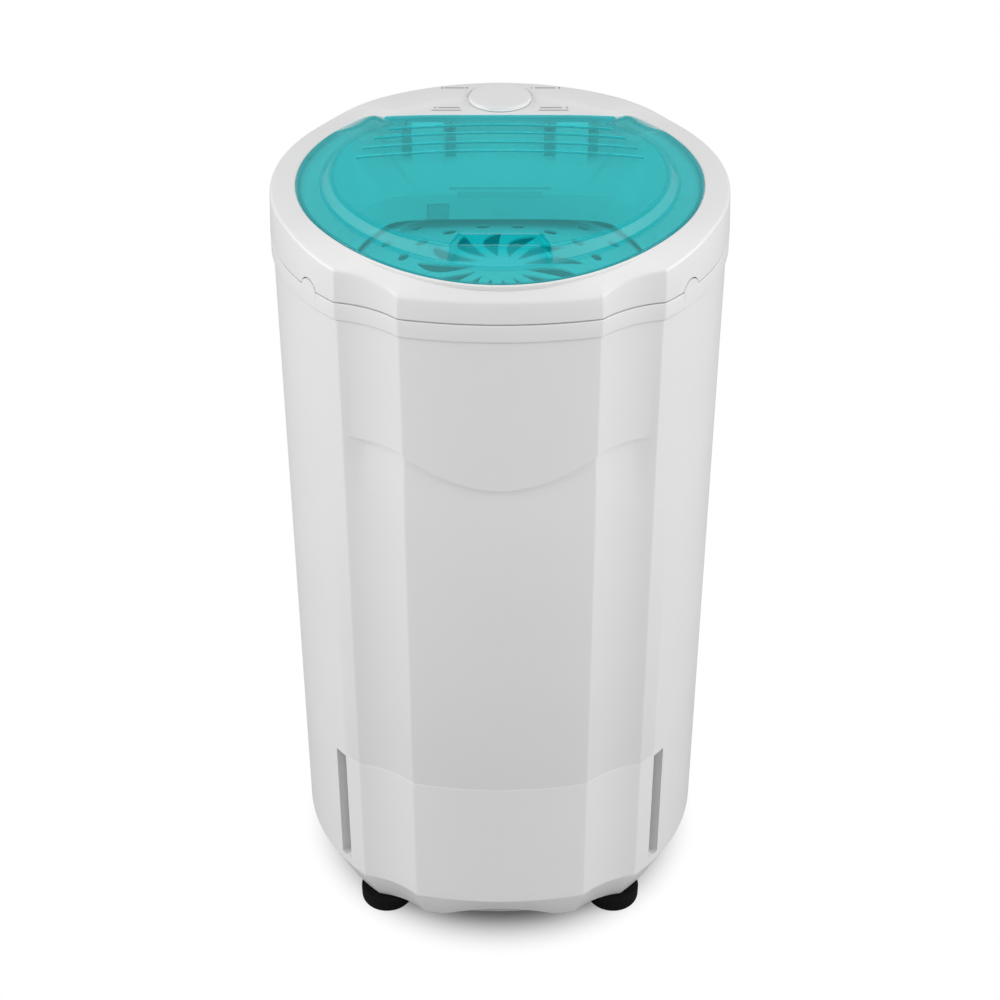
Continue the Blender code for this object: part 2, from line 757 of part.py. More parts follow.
def edge_height(y):
    """Height of the crown's outer top edge, which dips in front and rises behind."""
    along = max(-y / CABINET_RADIUS - FRONT_DROP_FROM_SHARE, 0.0)
    drop = FRONT_DROP_SHARES[-1][1]
    for (start, low), (end, high) in zip(FRONT_DROP_SHARES, FRONT_DROP_SHARES[1:]):
        if along < end:
            drop = mix(low, high, (along - start) / (end - start))
            break
    rise = BACK_RISE * smoothstep(y / CABINET_RADIUS, *BACK_RISE_SHARES)
    return RIM_HEIGHT - drop * CABINET_RADIUS + rise


def opening_height(y):
    """Height of the lid opening's edge."""
    share = max(-y / CABINET_RADIUS - OPENING_DROP_FROM_SHARE, 0.0) / OPENING_DROP_LENGTH_SHARE
    return LID_PLANE - OPENING_DROP_SHARE * CABINET_RADIUS * share * share


def chord_radius(degrees, chord):
    """Distance from the axis to the opening's straighter back edge, at an angle from the back."""
    angle = math.radians(degrees)
    x_share = math.tan(angle) / math.tan(math.radians(NOTCH_DEG))
    return (chord - CHORD_SAG * x_share * x_share) / math.cos(angle)


def opening_radius(degrees, inset=0.0, chord_inset=0.0, notch_shift=0.0):
    """Distance from the axis to the lid opening's edge, at an angle from the back."""
    if degrees < NOTCH_DEG + notch_shift + NOTCH_STEP_DEG / 2:
        return chord_radius(min(degrees, NOTCH_DEG), CHORD_FROM_AXIS - chord_inset)
    return OPENING_RADIUS - inset


def throat_radius(degrees, grow=0.0):
    """Distance from the axis to the D-shaped mouth, at an angle from the back."""
    cosine = math.cos(math.radians(degrees))
    if cosine <= 0:
        return MOUTH_RADIUS + grow
    chord = (THROAT_CHORD + grow) / cosine
    power = THROAT_CORNER_POWER
    return (chord**-power + (MOUTH_RADIUS + grow) ** -power) ** (-1 / power)


def crown_columns():
    corners = [180.0 - hinge_side_degrees(), 180.0 - NOTCH_DEG - NOTCH_STEP_DEG, 180.0 - NOTCH_DEG]
    half = math.degrees(math.asin((KNOB_BASE_RADIUS + 2 * POCKET_CLEARANCE) / TIMER_Y))
    return corners + [180.0 - half * share for share in reversed(POCKET_COLUMN_SHARES)]


def rim_inner(degrees):
    """Radius where the raised rear rim ends, and how far it slopes down: it gives way round the knob."""
    line = CABINET_RADIUS * mix(*RIM_INNER_SHARES, min(degrees / PANEL_DEG, 1.0))
    angle = math.radians(min(degrees, 90.0))
    pocket = KNOB_BASE_RADIUS + POCKET_CLEARANCE
    reach = pocket * pocket - (TIMER_Y * math.sin(angle)) ** 2
    far = TIMER_Y * math.cos(angle) + math.sqrt(max(reach, 0.0))
    if reach > 0 and far > line:
        return far + POCKET_DRAFT, POCKET_DRAFT
    return line, RIM_SLOPE


def crown_rings(unit):
    """Rings of the crown's outer face, from its lower outer edge over the top and down to the mouth."""
    columns = []
    for point in unit:
        degrees = angle_from_back(point)
        direction = Vector(point).normalized()
        outer = Vector(point) * CROWN_RADIUS
        low = Vector(point) * COLLAR_RADIUS
        near = Vector(point) * (CROWN_RADIUS - EDGE_ROUND)
        edge = edge_height(outer.y)
        opening = direction * opening_radius(degrees)
        lip = opening_height(opening.y)
        well = 1.0 - smoothstep(degrees, WELL_DEG, WELL_FADE_DEG)
        panel = 1.0 - smoothstep(degrees, PANEL_DEG, PANEL_FADE_DEG)
        panel_height = mix(mix(edge, lip, RIM_FOOT_SHARE), RIM_HEIGHT + GAP, panel)
        rim, slope = rim_inner(degrees)
        span = near.length - opening.length
        rim_share = mix(RIM_EDGE_SHARE, (near.length - rim) / span, panel)
        foot_share = mix(RIM_FOOT_SHARE, (near.length - rim + slope) / span, panel)
        ledge = lip - mix(LEDGE_DEPTH, WELL_DEPTH, well)
        inner = direction * (opening.length - LEDGE_WIDTH)
        throat = direction * throat_radius(degrees)
        upper = direction * mix(inner.length - FUNNEL_UPPER_INSET, opening.length - BACK_SLOPE_INSET, well)
        upper_height = mix(lip - FUNNEL_UPPER_DROP, BACK_SLOPE_TOP, well)
        lower = direction * mix(throat.length, upper.length, FUNNEL_LOWER_SHARE)
        lower_height = mix(lip - FUNNEL_LOWER_DROP, THROAT_TOP + (upper_height - THROAT_TOP) / 3, well)
        places = [
            (low, CROWN_BOTTOM),
            (outer, edge - EDGE_ROUND),
            (near, edge),
            (near.lerp(opening, rim_share), mix(mix(edge, lip, RIM_EDGE_SHARE), edge, panel)),
            (near.lerp(opening, foot_share), panel_height),
            (opening + direction * EDGE_ROUND, mix(lip - GAP, RIM_HEIGHT + GAP, panel)),
            (opening, mix(lip - EDGE_ROUND, RIM_HEIGHT - EDGE_ROUND, panel)),
            (opening, ledge),
            (inner, ledge - mix(0.0, LEDGE_DEPTH, well)),
            (inner - direction * EDGE_ROUND, ledge - mix(EDGE_ROUND, LEDGE_DEPTH + EDGE_ROUND, well)),
            (upper, upper_height),
            (lower, lower_height),
            (throat, THROAT_TOP),
            (throat, THROAT_BOTTOM),
        ]
        columns.append([(place.x, place.y, height) for place, height in places])
    return [list(ring) for ring in zip(*columns)]


def knuckle_point(angle):
    """Point (y, z) of a hinge knuckle's round, at an angle from straight back towards straight up."""
    return HINGE_Y + KNUCKLE_RADIUS * math.cos(angle), HINGE_Z + KNUCKLE_RADIUS * math.sin(angle)


def hinge_outline():
    """Side view of a hinge boss: a round head on a foot that runs down into the sloping well."""
    points = []
    for step in range(HINGE_STEPS + 1):
        angle = math.pi * step / HINGE_STEPS
        points.append(knuckle_point(angle))
    points.append((HINGE_Y - KNUCKLE_RADIUS - LEDGE_WIDTH, (THROAT_TOP + BACK_SLOPE_TOP) / 2))
    points.append((HINGE_Y + KNUCKLE_RADIUS, BACK_SLOPE_TOP))
    sag_share = BOSS_OUTER_X / (CHORD_FROM_AXIS * math.tan(math.radians(NOTCH_DEG)))
    lid_wall = HINGE_INSET - CHORD_SAG * sag_share * sag_share - LID_CHORD_CLEARANCE - LID_THICKNESS
    points.append((HINGE_Y - BOSS_WAIST, HINGE_Z - HINGE_INSET - GAP))
    points.append((HINGE_Y - BOSS_WAIST, HINGE_Z - lid_wall + BOSS_WAIST_MARGIN))
    points.append(knuckle_point(-math.radians(BOSS_HEAD_DEG)))
    return points


def make_crown(root):
    rings = crown_rings(plan(crown_columns()))
    crown = outward_mesh("crown", loft_bm(rings), WHITE, root, SMOOTH_DEG)
    solidify(crown, WALL)
    for side, hand in ((-1, "left"), (1, "right")):
        low, high = sorted((side * BOSS_INNER_X, side * BOSS_OUTER_X))
        boss = add_cutter(f"hinge_boss_{hand}", prism_bm(hinge_outline(), low, high, "X"), root)
        boolean(crown, boss, "UNION")
    for side, hand in ((-1, "left"), (1, "right")):
        start = (side * (BOSS_INNER_X - OVERRUN), HINGE_Y, HINGE_Z)
        end = (side * (BOSS_OUTER_X + OVERRUN), HINGE_Y, HINGE_Z)
        bore = rod_bm(PIN_RADIUS + PIN_CLEARANCE, start, end, HINGE_SIDES)
        boolean(crown, add_cutter(f"hinge_bore_{hand}", bore, root))
    notches = tab_bm(TAB_CLEARANCE, COLLAR_RADIUS - WALL - OVERRUN, COLLAR_RADIUS + OVERRUN)
    boolean(crown, add_cutter("seam_notches", notches, root))
    deck = RIM_HEIGHT + GAP
    start = (0.0, TIMER_Y, deck - WALL - OVERRUN)
    hole = rod_bm(TIMER_SHAFT_RADIUS + PIN_CLEARANCE, start, (0.0, TIMER_Y, deck + OVERRUN), ROUND_SIDES)
    boolean(crown, add_cutter("timer_hole", hole, root))
    x, y = switch_place()
    ledge = switch_ledge()
    start = (x, y, ledge - WALL - OVERRUN)
    hole = rod_bm(PLUNGER_RADIUS + PLUNGER_CLEARANCE, start, (x, y, ledge + OVERRUN), PIN_SIDES)
    boolean(crown, add_cutter("plunger_hole", hole, root))


# Lid


def hinge_side_degrees():
    """Angle from the back at which the hinge axis leaves the round opening."""
    return math.degrees(math.acos(HINGE_Y / OPENING_RADIUS))


def lid_edge(degrees):
    """Distance from the axis to the lid's edge, drawn in beside the hinge axis so that the lid can turn."""
    relief = 1.0 - smoothstep(abs(degrees - hinge_side_degrees()), *HINGE_RELIEF_DEG)
    inset = LID_CLEARANCE + HINGE_RELIEF * relief
    return opening_radius(degrees, inset, LID_CHORD_CLEARANCE, LID_NOTCH_CLEARANCE_DEG)


def dome_height(y, share):
    """Height of the dome's top, which falls towards the hinge and is slightly crowned."""
    rear_end = CHORD_FROM_AXIS - LID_CHORD_CLEARANCE
    fall = (DOME_HEIGHT - DOME_REAR_HEIGHT) * smoothstep(y, DOME_FALL_FROM_SHARE * CABINET_RADIUS, rear_end)
    return DOME_HEIGHT - fall + DOME_CROWN * share


def lid_columns():
    shift = NOTCH_DEG + LID_NOTCH_CLEARANCE_DEG
    grip = [GRIP_HALF_DEG - GRIP_DRAFT_DEG, GRIP_HALF_DEG]
    return grip + [180.0 - hinge_side_degrees(), 180.0 - shift - NOTCH_STEP_DEG, 180.0 - shift]


def lid_rings():
    """Rings of the lid's upper face, from its lower outer edge up over the dome to the middle."""
    unit = [Vector(polar(degree, 1.0)) for degree in lid_angles()]
    columns = []
    for point in unit:
        degrees = angle_from_back(point)
        rear = 1.0 if degrees < NOTCH_DEG + LID_NOTCH_CLEARANCE_DEG + NOTCH_STEP_DEG / 2 else 0.0
        outer = point * lid_edge(degrees)
        lip = opening_height(outer.y)
        foot = point * mix(OPENING_RADIUS - DOME_FOOT_INSET, outer.length, rear)
        top = point * mix(OPENING_RADIUS - DOME_TOP_INSET, outer.length - DOME_REAR_TOP_INSET, rear)
        flange = outer.lerp(foot, 0.5)
        foot_height = mix(opening_height(foot.y), LID_PLANE - EDGE_ROUND, rear)
        top_height = dome_height(top.y, 0.0)
        shoulder = foot.lerp(top, DOME_SHOULDER_SHARE)
        shoulder_height = mix(foot_height, top_height, DOME_SHOULDER_RISE_SHARE)
        inner = top * DOME_RING_SHARES[0]
        if degrees > 180.0 - GRIP_HALF_DEG + GRIP_DRAFT_DEG / 2:
            top = point * (GRIP_BACK / -point.y)
            shoulder = top + point * GRIP_BACK_DRAFT
            top_height = dome_height(top.y, DOME_RISE_SHARES[0])
            shoulder_height = LID_PLANE - GRIP_FLOOR_DROP
            inner = top * GRIP_BEHIND_SHARE
        places = [
            (outer, mix(lip - GAP, LID_PLANE - LEDGE_DEPTH, rear)),
            (flange, mix(opening_height(flange.y), LID_PLANE - LEDGE_DEPTH / 2, rear)),
            (foot, foot_height),
            (shoulder, shoulder_height),
            (top, top_height),
            (inner, dome_height(inner.y, DOME_RISE_SHARES[0])),
        ]
        plain_top = point * mix(OPENING_RADIUS - DOME_TOP_INSET, outer.length - DOME_REAR_TOP_INSET, rear)
        for share, rise in zip(DOME_RING_SHARES[1:], DOME_RISE_SHARES[1:]):
            places.append((plain_top * share, dome_height(plain_top.y * share, rise)))
        columns.append([(place.x, place.y, height) for place, height in places])
    return [list(ring) for ring in zip(*columns)]


def lid_angles():
    step = LID_STEP_DEG
    count = round(360 / step)
    degrees = [step * i for i in range(count)]
    special = lid_columns()
    special += [360.0 - value for value in special]
    keep = [d for d in degrees if all(abs(d - s) > step / 4 for s in special)]
    return sorted(keep + special)


def arm_spans():
    """The lid's hinge arms stand on both sides of each crown boss."""
    spans = []
    for side, hand in ((-1, "left"), (1, "right")):
        inner = BOSS_INNER_X - ARM_CLEARANCE
        outer = BOSS_OUTER_X + ARM_CLEARANCE
        spans.append((f"{hand}_inner", *sorted((side * (inner - ARM_WIDTH), side * inner))))
        spans.append((f"{hand}_outer", *sorted((side * outer, side * (outer + ARM_WIDTH)))))
    return spans


def shift_to(made, parent):
    """Measures an object's points from its parent's own origin, which lies on a joint's axis."""
    made.data.transform(Matrix.Translation(-parent.location))


def make_lid(lid_axis):
    rings = lid_rings()
    lid = outward_mesh("lid", loft_bm(rings, closed_ends=True), TEAL, lid_axis, SMOOTH_DEG)
    shift_to(lid, lid_axis)
    solidify(lid, LID_THICKNESS)
    for name, low, high in arm_spans():
        reach = KNUCKLE_RADIUS + ARM_FRONT
        points = []
        for step in range(HINGE_STEPS + 1):
            angle = math.pi + math.pi * step / HINGE_STEPS
            points.append(knuckle_point(angle))
        for y in (HINGE_Y + KNUCKLE_RADIUS, HINGE_Y - KNUCKLE_RADIUS, HINGE_Y - reach):
            points.append((y, dome_height(y, 0.0) - LID_THICKNESS * ARM_SINK_SHARE))
        arm = add_cutter(f"arm_{name}", prism_bm(points, low, high, "X"), lid_axis)
        shift_to(arm, lid_axis)
        boolean(lid, arm, "UNION", "MANIFOLD")
    for side, hand in ((-1, "left"), (1, "right")):
        inner = BOSS_INNER_X - ARM_CLEARANCE - ARM_WIDTH - OVERRUN
        outer = BOSS_OUTER_X + ARM_CLEARANCE + ARM_WIDTH + OVERRUN
        start = (side * inner, HINGE_Y, HINGE_Z)
        end = (side * outer, HINGE_Y, HINGE_Z)
        rod = rod_bm(PIN_RADIUS + PIN_CLEARANCE, start, end, HINGE_SIDES)
        bore = add_cutter(f"arm_bore_{hand}", rod, lid_axis)
        shift_to(bore, lid_axis)
        boolean(lid, bore, solver="MANIFOLD")


def make_hinge_pins(root):
    for side, hand in ((-1, "left"), (1, "right")):
        inner = BOSS_INNER_X - ARM_CLEARANCE - ARM_WIDTH
        outer = BOSS_OUTER_X + ARM_CLEARANCE + ARM_WIDTH
        start = (side * inner, HINGE_Y, HINGE_Z)
        bm = rod_bm(PIN_RADIUS, start, (side * outer, HINGE_Y, HINGE_Z), HINGE_SIDES)
        add_mesh(f"hinge_pin_{hand}", bm, STEEL, root)


# Timer and lid switch


def make_timer(root, timer_axis):
    deck = RIM_HEIGHT + GAP
    top = deck - WALL - GAP
    low = (-TIMER_WIDTH / 2, TIMER_Y - TIMER_DEPTH / 2, top - TIMER_HEIGHT)
    bm = box_bm(low, (TIMER_WIDTH / 2, TIMER_Y + TIMER_DEPTH / 2, top))
    add_mesh("timer_switch", bm, BLACK_PLASTIC, root)
    base = deck + GAP
    profile = [
        (0.0, base + KNOB_HEIGHT),
        (KNOB_RADIUS - EDGE_ROUND, base + KNOB_HEIGHT),
        (KNOB_RADIUS, base + KNOB_HEIGHT - EDGE_ROUND),
        (KNOB_RADIUS, base + EDGE_ROUND),
        (KNOB_BASE_RADIUS, base),
        (TIMER_SHAFT_RADIUS + GAP, base),
        (TIMER_SHAFT_RADIUS + GAP, base + KNOB_HEIGHT / 2),
        (0.0, base + KNOB_HEIGHT / 2),
    ]
    turned("timer_knob", profile, KNOB_SIDES, WHITE, timer_axis)
    shaft_top = base + KNOB_HEIGHT / 2 - GAP
    turned("timer_shaft", rod_profile(TIMER_SHAFT_RADIUS, top + GAP, shaft_top), PIN_SIDES, STEEL, timer_axis)


def switch_place():
    return polar(-SWITCH_DEG, OPENING_RADIUS - SWITCH_PLUNGER_FROM_EDGE)


def switch_ledge():
    return opening_height(0.0) - LEDGE_DEPTH


def make_lid_switch(root, plunger_axis):
    """A small switch under the lid's ledge, with a plunger that the closed lid holds down."""
    top = switch_ledge() - WALL - GAP
    low = (-SWITCH_WIDE / 2, -SWITCH_RADIAL + SWITCH_INSET, top - SWITCH_HEIGHT)
    bm = box_bm(low, (SWITCH_WIDE / 2, SWITCH_INSET, top))
    housing = add_mesh("lid_switch_housing", bm, BLACK_PLASTIC, root)
    x, y = switch_place()
    turn = Matrix.Rotation(math.atan2(x, -y), 4, "Z")
    housing.data.transform(Matrix.Translation((x, y, 0.0)) @ turn)
    start = (x, y, top - PLUNGER_DEPTH - OVERRUN)
    socket = rod_bm(PLUNGER_RADIUS + PLUNGER_CLEARANCE, start, (x, y, top + OVERRUN), PIN_SIDES)
    boolean(housing, add_cutter("plunger_socket", socket, root))
    plunger_top = LID_PLANE - LID_THICKNESS - GAP * 2
    bm = rod_bm(PLUNGER_RADIUS, (0.0, 0.0, top - PLUNGER_DEPTH), (0.0, 0.0, plunger_top), PIN_SIDES)
    add_mesh("lid_switch_plunger", bm, GREY_PLASTIC, plunger_axis)


# Hung drive unit


def mount_places():
    return [polar(180.0 + 360.0 * i / MOUNT_COUNT, MOUNT_CIRCLE) for i in range(MOUNT_COUNT)]


def make_springs(root, drive):
    for number, (x, y) in enumerate(mount_places(), 1):
        lower = [
            (0.0, SPRING_BOTTOM + CUP_POST_HEIGHT),
            (CUP_POST_RADIUS, SPRING_BOTTOM + CUP_POST_HEIGHT),
            (CUP_POST_RADIUS, SPRING_BOTTOM - GAP),
            (CUP_RADIUS, SPRING_BOTTOM - GAP),
            (CUP_RADIUS, LOWER_CUP_BOTTOM),
            (0.0, LOWER_CUP_BOTTOM),
        ]
        cup = turned(f"spring_lower_cup_{number}", lower, CUP_SIDES, BLACK_RUBBER, root)
        cup.location = (x, y, 0.0)
        upper = [
            (0.0, UPPER_CUP_BOTTOM + CUP_HEIGHT),
            (CUP_RADIUS, UPPER_CUP_BOTTOM + CUP_HEIGHT),
            (CUP_RADIUS, UPPER_CUP_BOTTOM),
            (CUP_POST_RADIUS, UPPER_CUP_BOTTOM),
            (CUP_POST_RADIUS, UPPER_CUP_BOTTOM - CUP_POST_HEIGHT),
            (0.0, UPPER_CUP_BOTTOM - CUP_POST_HEIGHT),
        ]
        cup = turned(f"spring_upper_cup_{number}", upper, CUP_SIDES, BLACK_RUBBER, drive)
        cup.location = (x, y, 0.0)
        count = SPRING_TURNS * SPRING_STEPS
        low, high = SPRING_BOTTOM + SPRING_WIRE, SPRING_TOP - SPRING_WIRE
        points = []
        for step in range(count + 1):
            angle = math.tau * step / SPRING_STEPS
            height = mix(low, high, step / count)
            points.append((x + SPRING_RADIUS * math.cos(angle), y + SPRING_RADIUS * math.sin(angle), height))
        tube(f"suspension_spring_{number}", points, SPRING_WIRE, STEEL, root, resolution=1)


def make_motor_plate(drive):
    """A three-lobed steel plate that the motor stands on."""
    outline = []
    for x, y in mount_places():
        facing = math.atan2(y, x)
        for step in range(PLATE_LOBE_STEPS + 1):
            angle = facing + math.radians(PLATE_LOBE_DEG * (2 * step / PLATE_LOBE_STEPS - 1))
            outline.append((x + MOTOR_PLATE_LOBE * math.cos(angle), y + MOTOR_PLATE_LOBE * math.sin(angle)))
    if sum(a[0] * b[1] - b[0] * a[1] for a, b in zip(outline, outline[1:] + outline[:1])) < 0:
        outline.reverse()
    bm = prism_bm(outline, MOTOR_PLATE_BOTTOM, MOTOR_PLATE_TOP)
    plate = add_mesh("motor_plate", bm, PAINTED_STEEL, drive)
    hole = rod_profile(BEARING_RADIUS, MOTOR_PLATE_BOTTOM - OVERRUN, MOTOR_PLATE_TOP + OVERRUN)
    boolean(plate, turned_cutter("plate_hole", hole, BORE_SIDES, drive))


def make_motor(drive):
    lower = [
        (MOTOR_RADIUS, STATOR_BOTTOM - GAP),
        (MOTOR_RADIUS, LOWER_SHIELD_BOTTOM),
        (BEARING_RADIUS + GAP, LOWER_SHIELD_BOTTOM),
        (BEARING_RADIUS + GAP, LOWER_SHIELD_BOTTOM + BEARING_HEIGHT + GAP),
        (MOTOR_RADIUS - WALL, LOWER_SHIELD_BOTTOM + BEARING_HEIGHT + GAP),
        (MOTOR_RADIUS - WALL, STATOR_BOTTOM - GAP),
    ]
    turned("motor_lower_shield", lower, MOTOR_SIDES, CAST_ALUMINIUM, drive)
    stator = ring_profile(STATOR_BORE, MOTOR_RADIUS, STATOR_BOTTOM, STATOR_BOTTOM + STATOR_HEIGHT)
    turned("stator_core", stator, MOTOR_SIDES, STEEL, drive)
    top = UPPER_SHIELD_TOP
    upper = [
        (BEARING_RADIUS + SHIELD_HEIGHT, top),
        (MOTOR_RADIUS, top - BEARING_HEIGHT / 2),
        (MOTOR_RADIUS, UPPER_SHIELD_BOTTOM),
        (MOTOR_RADIUS - WALL, UPPER_SHIELD_BOTTOM),
        (MOTOR_RADIUS - WALL, top - BEARING_HEIGHT - GAP),
        (BEARING_RADIUS + GAP, top - BEARING_HEIGHT - GAP),
        (BEARING_RADIUS + GAP, top),
    ]
    turned("motor_upper_shield", upper, MOTOR_SIDES, CAST_ALUMINIUM, drive)
    bearing_bottoms = {"lower_bearing": LOWER_SHIELD_BOTTOM + GAP, "upper_bearing": top - BEARING_HEIGHT}
    for name, bottom in bearing_bottoms.items():
        inner = SHAFT_RADIUS + PIN_CLEARANCE
        ring = ring_profile(inner, BEARING_RADIUS, bottom, bottom + BEARING_HEIGHT - GAP)
        turned(name, ring, ROUND_SIDES, STEEL, drive)


def make_spin_group(spin):
    shaft_bottom = LOWER_SHIELD_BOTTOM
    shaft_top = BASKET_BOTTOM + HUB_HEIGHT + NUT_HEIGHT + WALL
    turned("drive_shaft", rod_profile(SHAFT_RADIUS, shaft_bottom, shaft_top), ROUND_SIDES, STEEL, spin)
    bore = SHAFT_RADIUS + PIN_CLEARANCE
    rotor = ring_profile(bore, ROTOR_RADIUS, STATOR_BOTTOM, STATOR_BOTTOM + STATOR_HEIGHT)
    turned("rotor", rotor, MOTOR_SIDES, STEEL, spin)
    drum = [
        (BRAKE_DRUM_RADIUS, BRAKE_DRUM_TOP),
        (BRAKE_DRUM_RADIUS, BRAKE_DRUM_BOTTOM),
        (BRAKE_DRUM_RADIUS - WALL * 2, BRAKE_DRUM_BOTTOM),
        (BRAKE_DRUM_RADIUS - WALL * 2, BRAKE_DRUM_TOP - WALL * 2),
        (bore, BRAKE_DRUM_TOP - WALL * 2),
        (bore, BRAKE_DRUM_TOP),
    ]
    turned("brake_drum", drum, DRUM_SIDES, PAINTED_STEEL, spin)


def lever_pivot():
    x = BRAKE_DRUM_RADIUS + SHOE_GAP + SHOE_DEPTH + LEVER_WIDTH / 2
    return (x, -LEVER_PIVOT_REACH)


def make_brake(drive, lever_axis):
    """A post on the motor plate carries the lever, whose shoe closes on the drum as the lid opens."""
    x, y = lever_pivot()
    middle = (BRAKE_DRUM_BOTTOM + BRAKE_DRUM_TOP) / 2
    low, high = middle - LEVER_THICKNESS / 2, middle + LEVER_THICKNESS / 2
    foot = MOTOR_PLATE_TOP
    profile = rod_profile(POST_RADIUS, foot + GAP, high + LEVER_THICKNESS)
    post = turned("brake_post", profile, ROUND_SIDES, STEEL, drive)
    post.location = (x, y, 0.0)
    outline = []
    half = LEVER_WIDTH / 2
    for step in range(LEVER_END_STEPS + 1):
        angle = math.pi + math.pi * step / LEVER_END_STEPS
        outline.append((half * math.cos(angle), half * math.sin(angle)))
    reach = LEVER_PIVOT_REACH + LEVER_REACH
    for step in range(LEVER_END_STEPS + 1):
        angle = math.pi * step / LEVER_END_STEPS
        outline.append((half * math.cos(angle), reach + half * math.sin(angle)))
    lever = add_mesh("brake_lever", prism_bm(outline, low, high), STEEL, lever_axis)
    cut = rod_profile(POST_RADIUS + PIN_CLEARANCE, low - OVERRUN, high + OVERRUN)
    boolean(lever, turned_cutter("lever_bore", cut, ROUND_SIDES, lever_axis))
    inner = BRAKE_DRUM_RADIUS + SHOE_GAP
    face = inner * math.cos(math.asin(SHOE_WIDTH / 2 / inner)) - OVERRUN
    shoe_low = (face - x, -y - SHOE_WIDTH / 2, BRAKE_DRUM_BOTTOM + GAP)
    shoe_high = (-half - GAP, -y + SHOE_WIDTH / 2, BRAKE_DRUM_TOP - GAP)
    shoe = add_mesh("brake_shoe", box_bm(shoe_low, shoe_high), BLACK_RUBBER, lever_axis)
    cut = rod_profile(inner, BRAKE_DRUM_BOTTOM - OVERRUN, BRAKE_DRUM_TOP + OVERRUN)
    cutter = turned_cutter("shoe_cut", cut, SHOE_SIDES, lever_axis)
    cutter.location = (-x, -y, 0.0)
    boolean(shoe, cutter)


# Tub, basket and press disc


def make_tub(root):
    """Water tub that hangs by its flange on the step inside the cabinet's collar."""
    unit = plan()
    flange_top = COLLAR_BOTTOM + TUB_FLANGE_GAP + WALL
    flange = COLLAR_RADIUS - TUB_FLANGE_INSET
    places = [
        (None, flange_top),
        (TUB_RADIUS + WALL * TUB_LIP_WALLS, flange_top),
        (TUB_RADIUS, flange_top - WALL * TUB_LIP_WALLS),
        (TUB_RADIUS, TUB_FLOOR + TUB_FLOOR_RISE * 2),
        (TUB_RADIUS - TUB_FLOOR_RISE, TUB_FLOOR + TUB_FLOOR_RISE * TUB_FLOOR_SLOPE_SHARE),
        (TUB_NECK_RADIUS + WALL * 2, TUB_FLOOR),
        (TUB_NECK_RADIUS + WALL, TUB_NECK_TOP),
    ]
    rings = []
    for radius, height in places:
        if radius is None:
            rings.append([(p[0] * flange, p[1] * flange, height) for p in unit])
            continue
        around = [Vector(p).normalized() * radius for p in unit]
        rings.append([(p.x, p.y, height) for p in around])
    tub = outward_mesh("outer_tub", loft_bm(rings), GREY_PLASTIC, root, TUB_SMOOTH_DEG)
    solidify(tub, WALL)
    seal_bottom = TUB_FLOOR - WALL * 3
    seal = [
        (TUB_NECK_RADIUS - WALL, TUB_NECK_TOP),
        (TUB_NECK_RADIUS - GAP, TUB_NECK_TOP - WALL * 2),
        (TUB_NECK_RADIUS - GAP, TUB_FLOOR),
        (TUB_NECK_RADIUS - WALL * 2, seal_bottom + WALL),
        (TUB_NECK_RADIUS - WALL * 4, seal_bottom),
        (SHAFT_RADIUS + GAP * 2, seal_bottom),
        (SHAFT_RADIUS + GAP * 2, seal_bottom + WALL * 2),
        (TUB_NECK_RADIUS - WALL * 4, TUB_NECK_TOP - WALL),
        (TUB_NECK_RADIUS - WALL * 2, TUB_NECK_TOP),
    ]
    turned("shaft_seal", seal, BORE_SIDES, BLACK_RUBBER, root)


def hole_grid_bm():
    """Rods that pierce the basket's wall in staggered rows."""
    bm = bmesh.new()
    low = BASKET_BOTTOM + BASKET_SHOULDER * HOLE_ROW_SHOULDERS[0]
    high = BASKET_RIM_TOP - BASKET_SHOULDER * HOLE_ROW_SHOULDERS[1]
    for row in range(BASKET_HOLE_ROWS):
        height = mix(low, high, row / (BASKET_HOLE_ROWS - 1))
        for column in range(BASKET_HOLE_COLUMNS):
            degrees = 360.0 * (column + 0.5 * (row % 2)) / BASKET_HOLE_COLUMNS
            x, y = polar(degrees, 1.0)
            inner = BASKET_RADIUS - BASKET_WALL - OVERRUN
            outer = BASKET_RADIUS + OVERRUN
            turn = Vector((x, y, 0.0)).to_track_quat("Z", "Y").to_matrix().to_4x4()
            middle = Vector((x, y, 0.0)) * (inner + outer) / 2 + Vector((0.0, 0.0, height))
            bmesh.ops.create_cone(
                bm,
                cap_ends=True,
                segments=HOLE_SIDES,
                radius1=BASKET_HOLE_RADIUS,
                radius2=BASKET_HOLE_RADIUS,
                depth=outer - inner,
                matrix=Matrix.Translation(middle) @ turn,
            )
    return bm


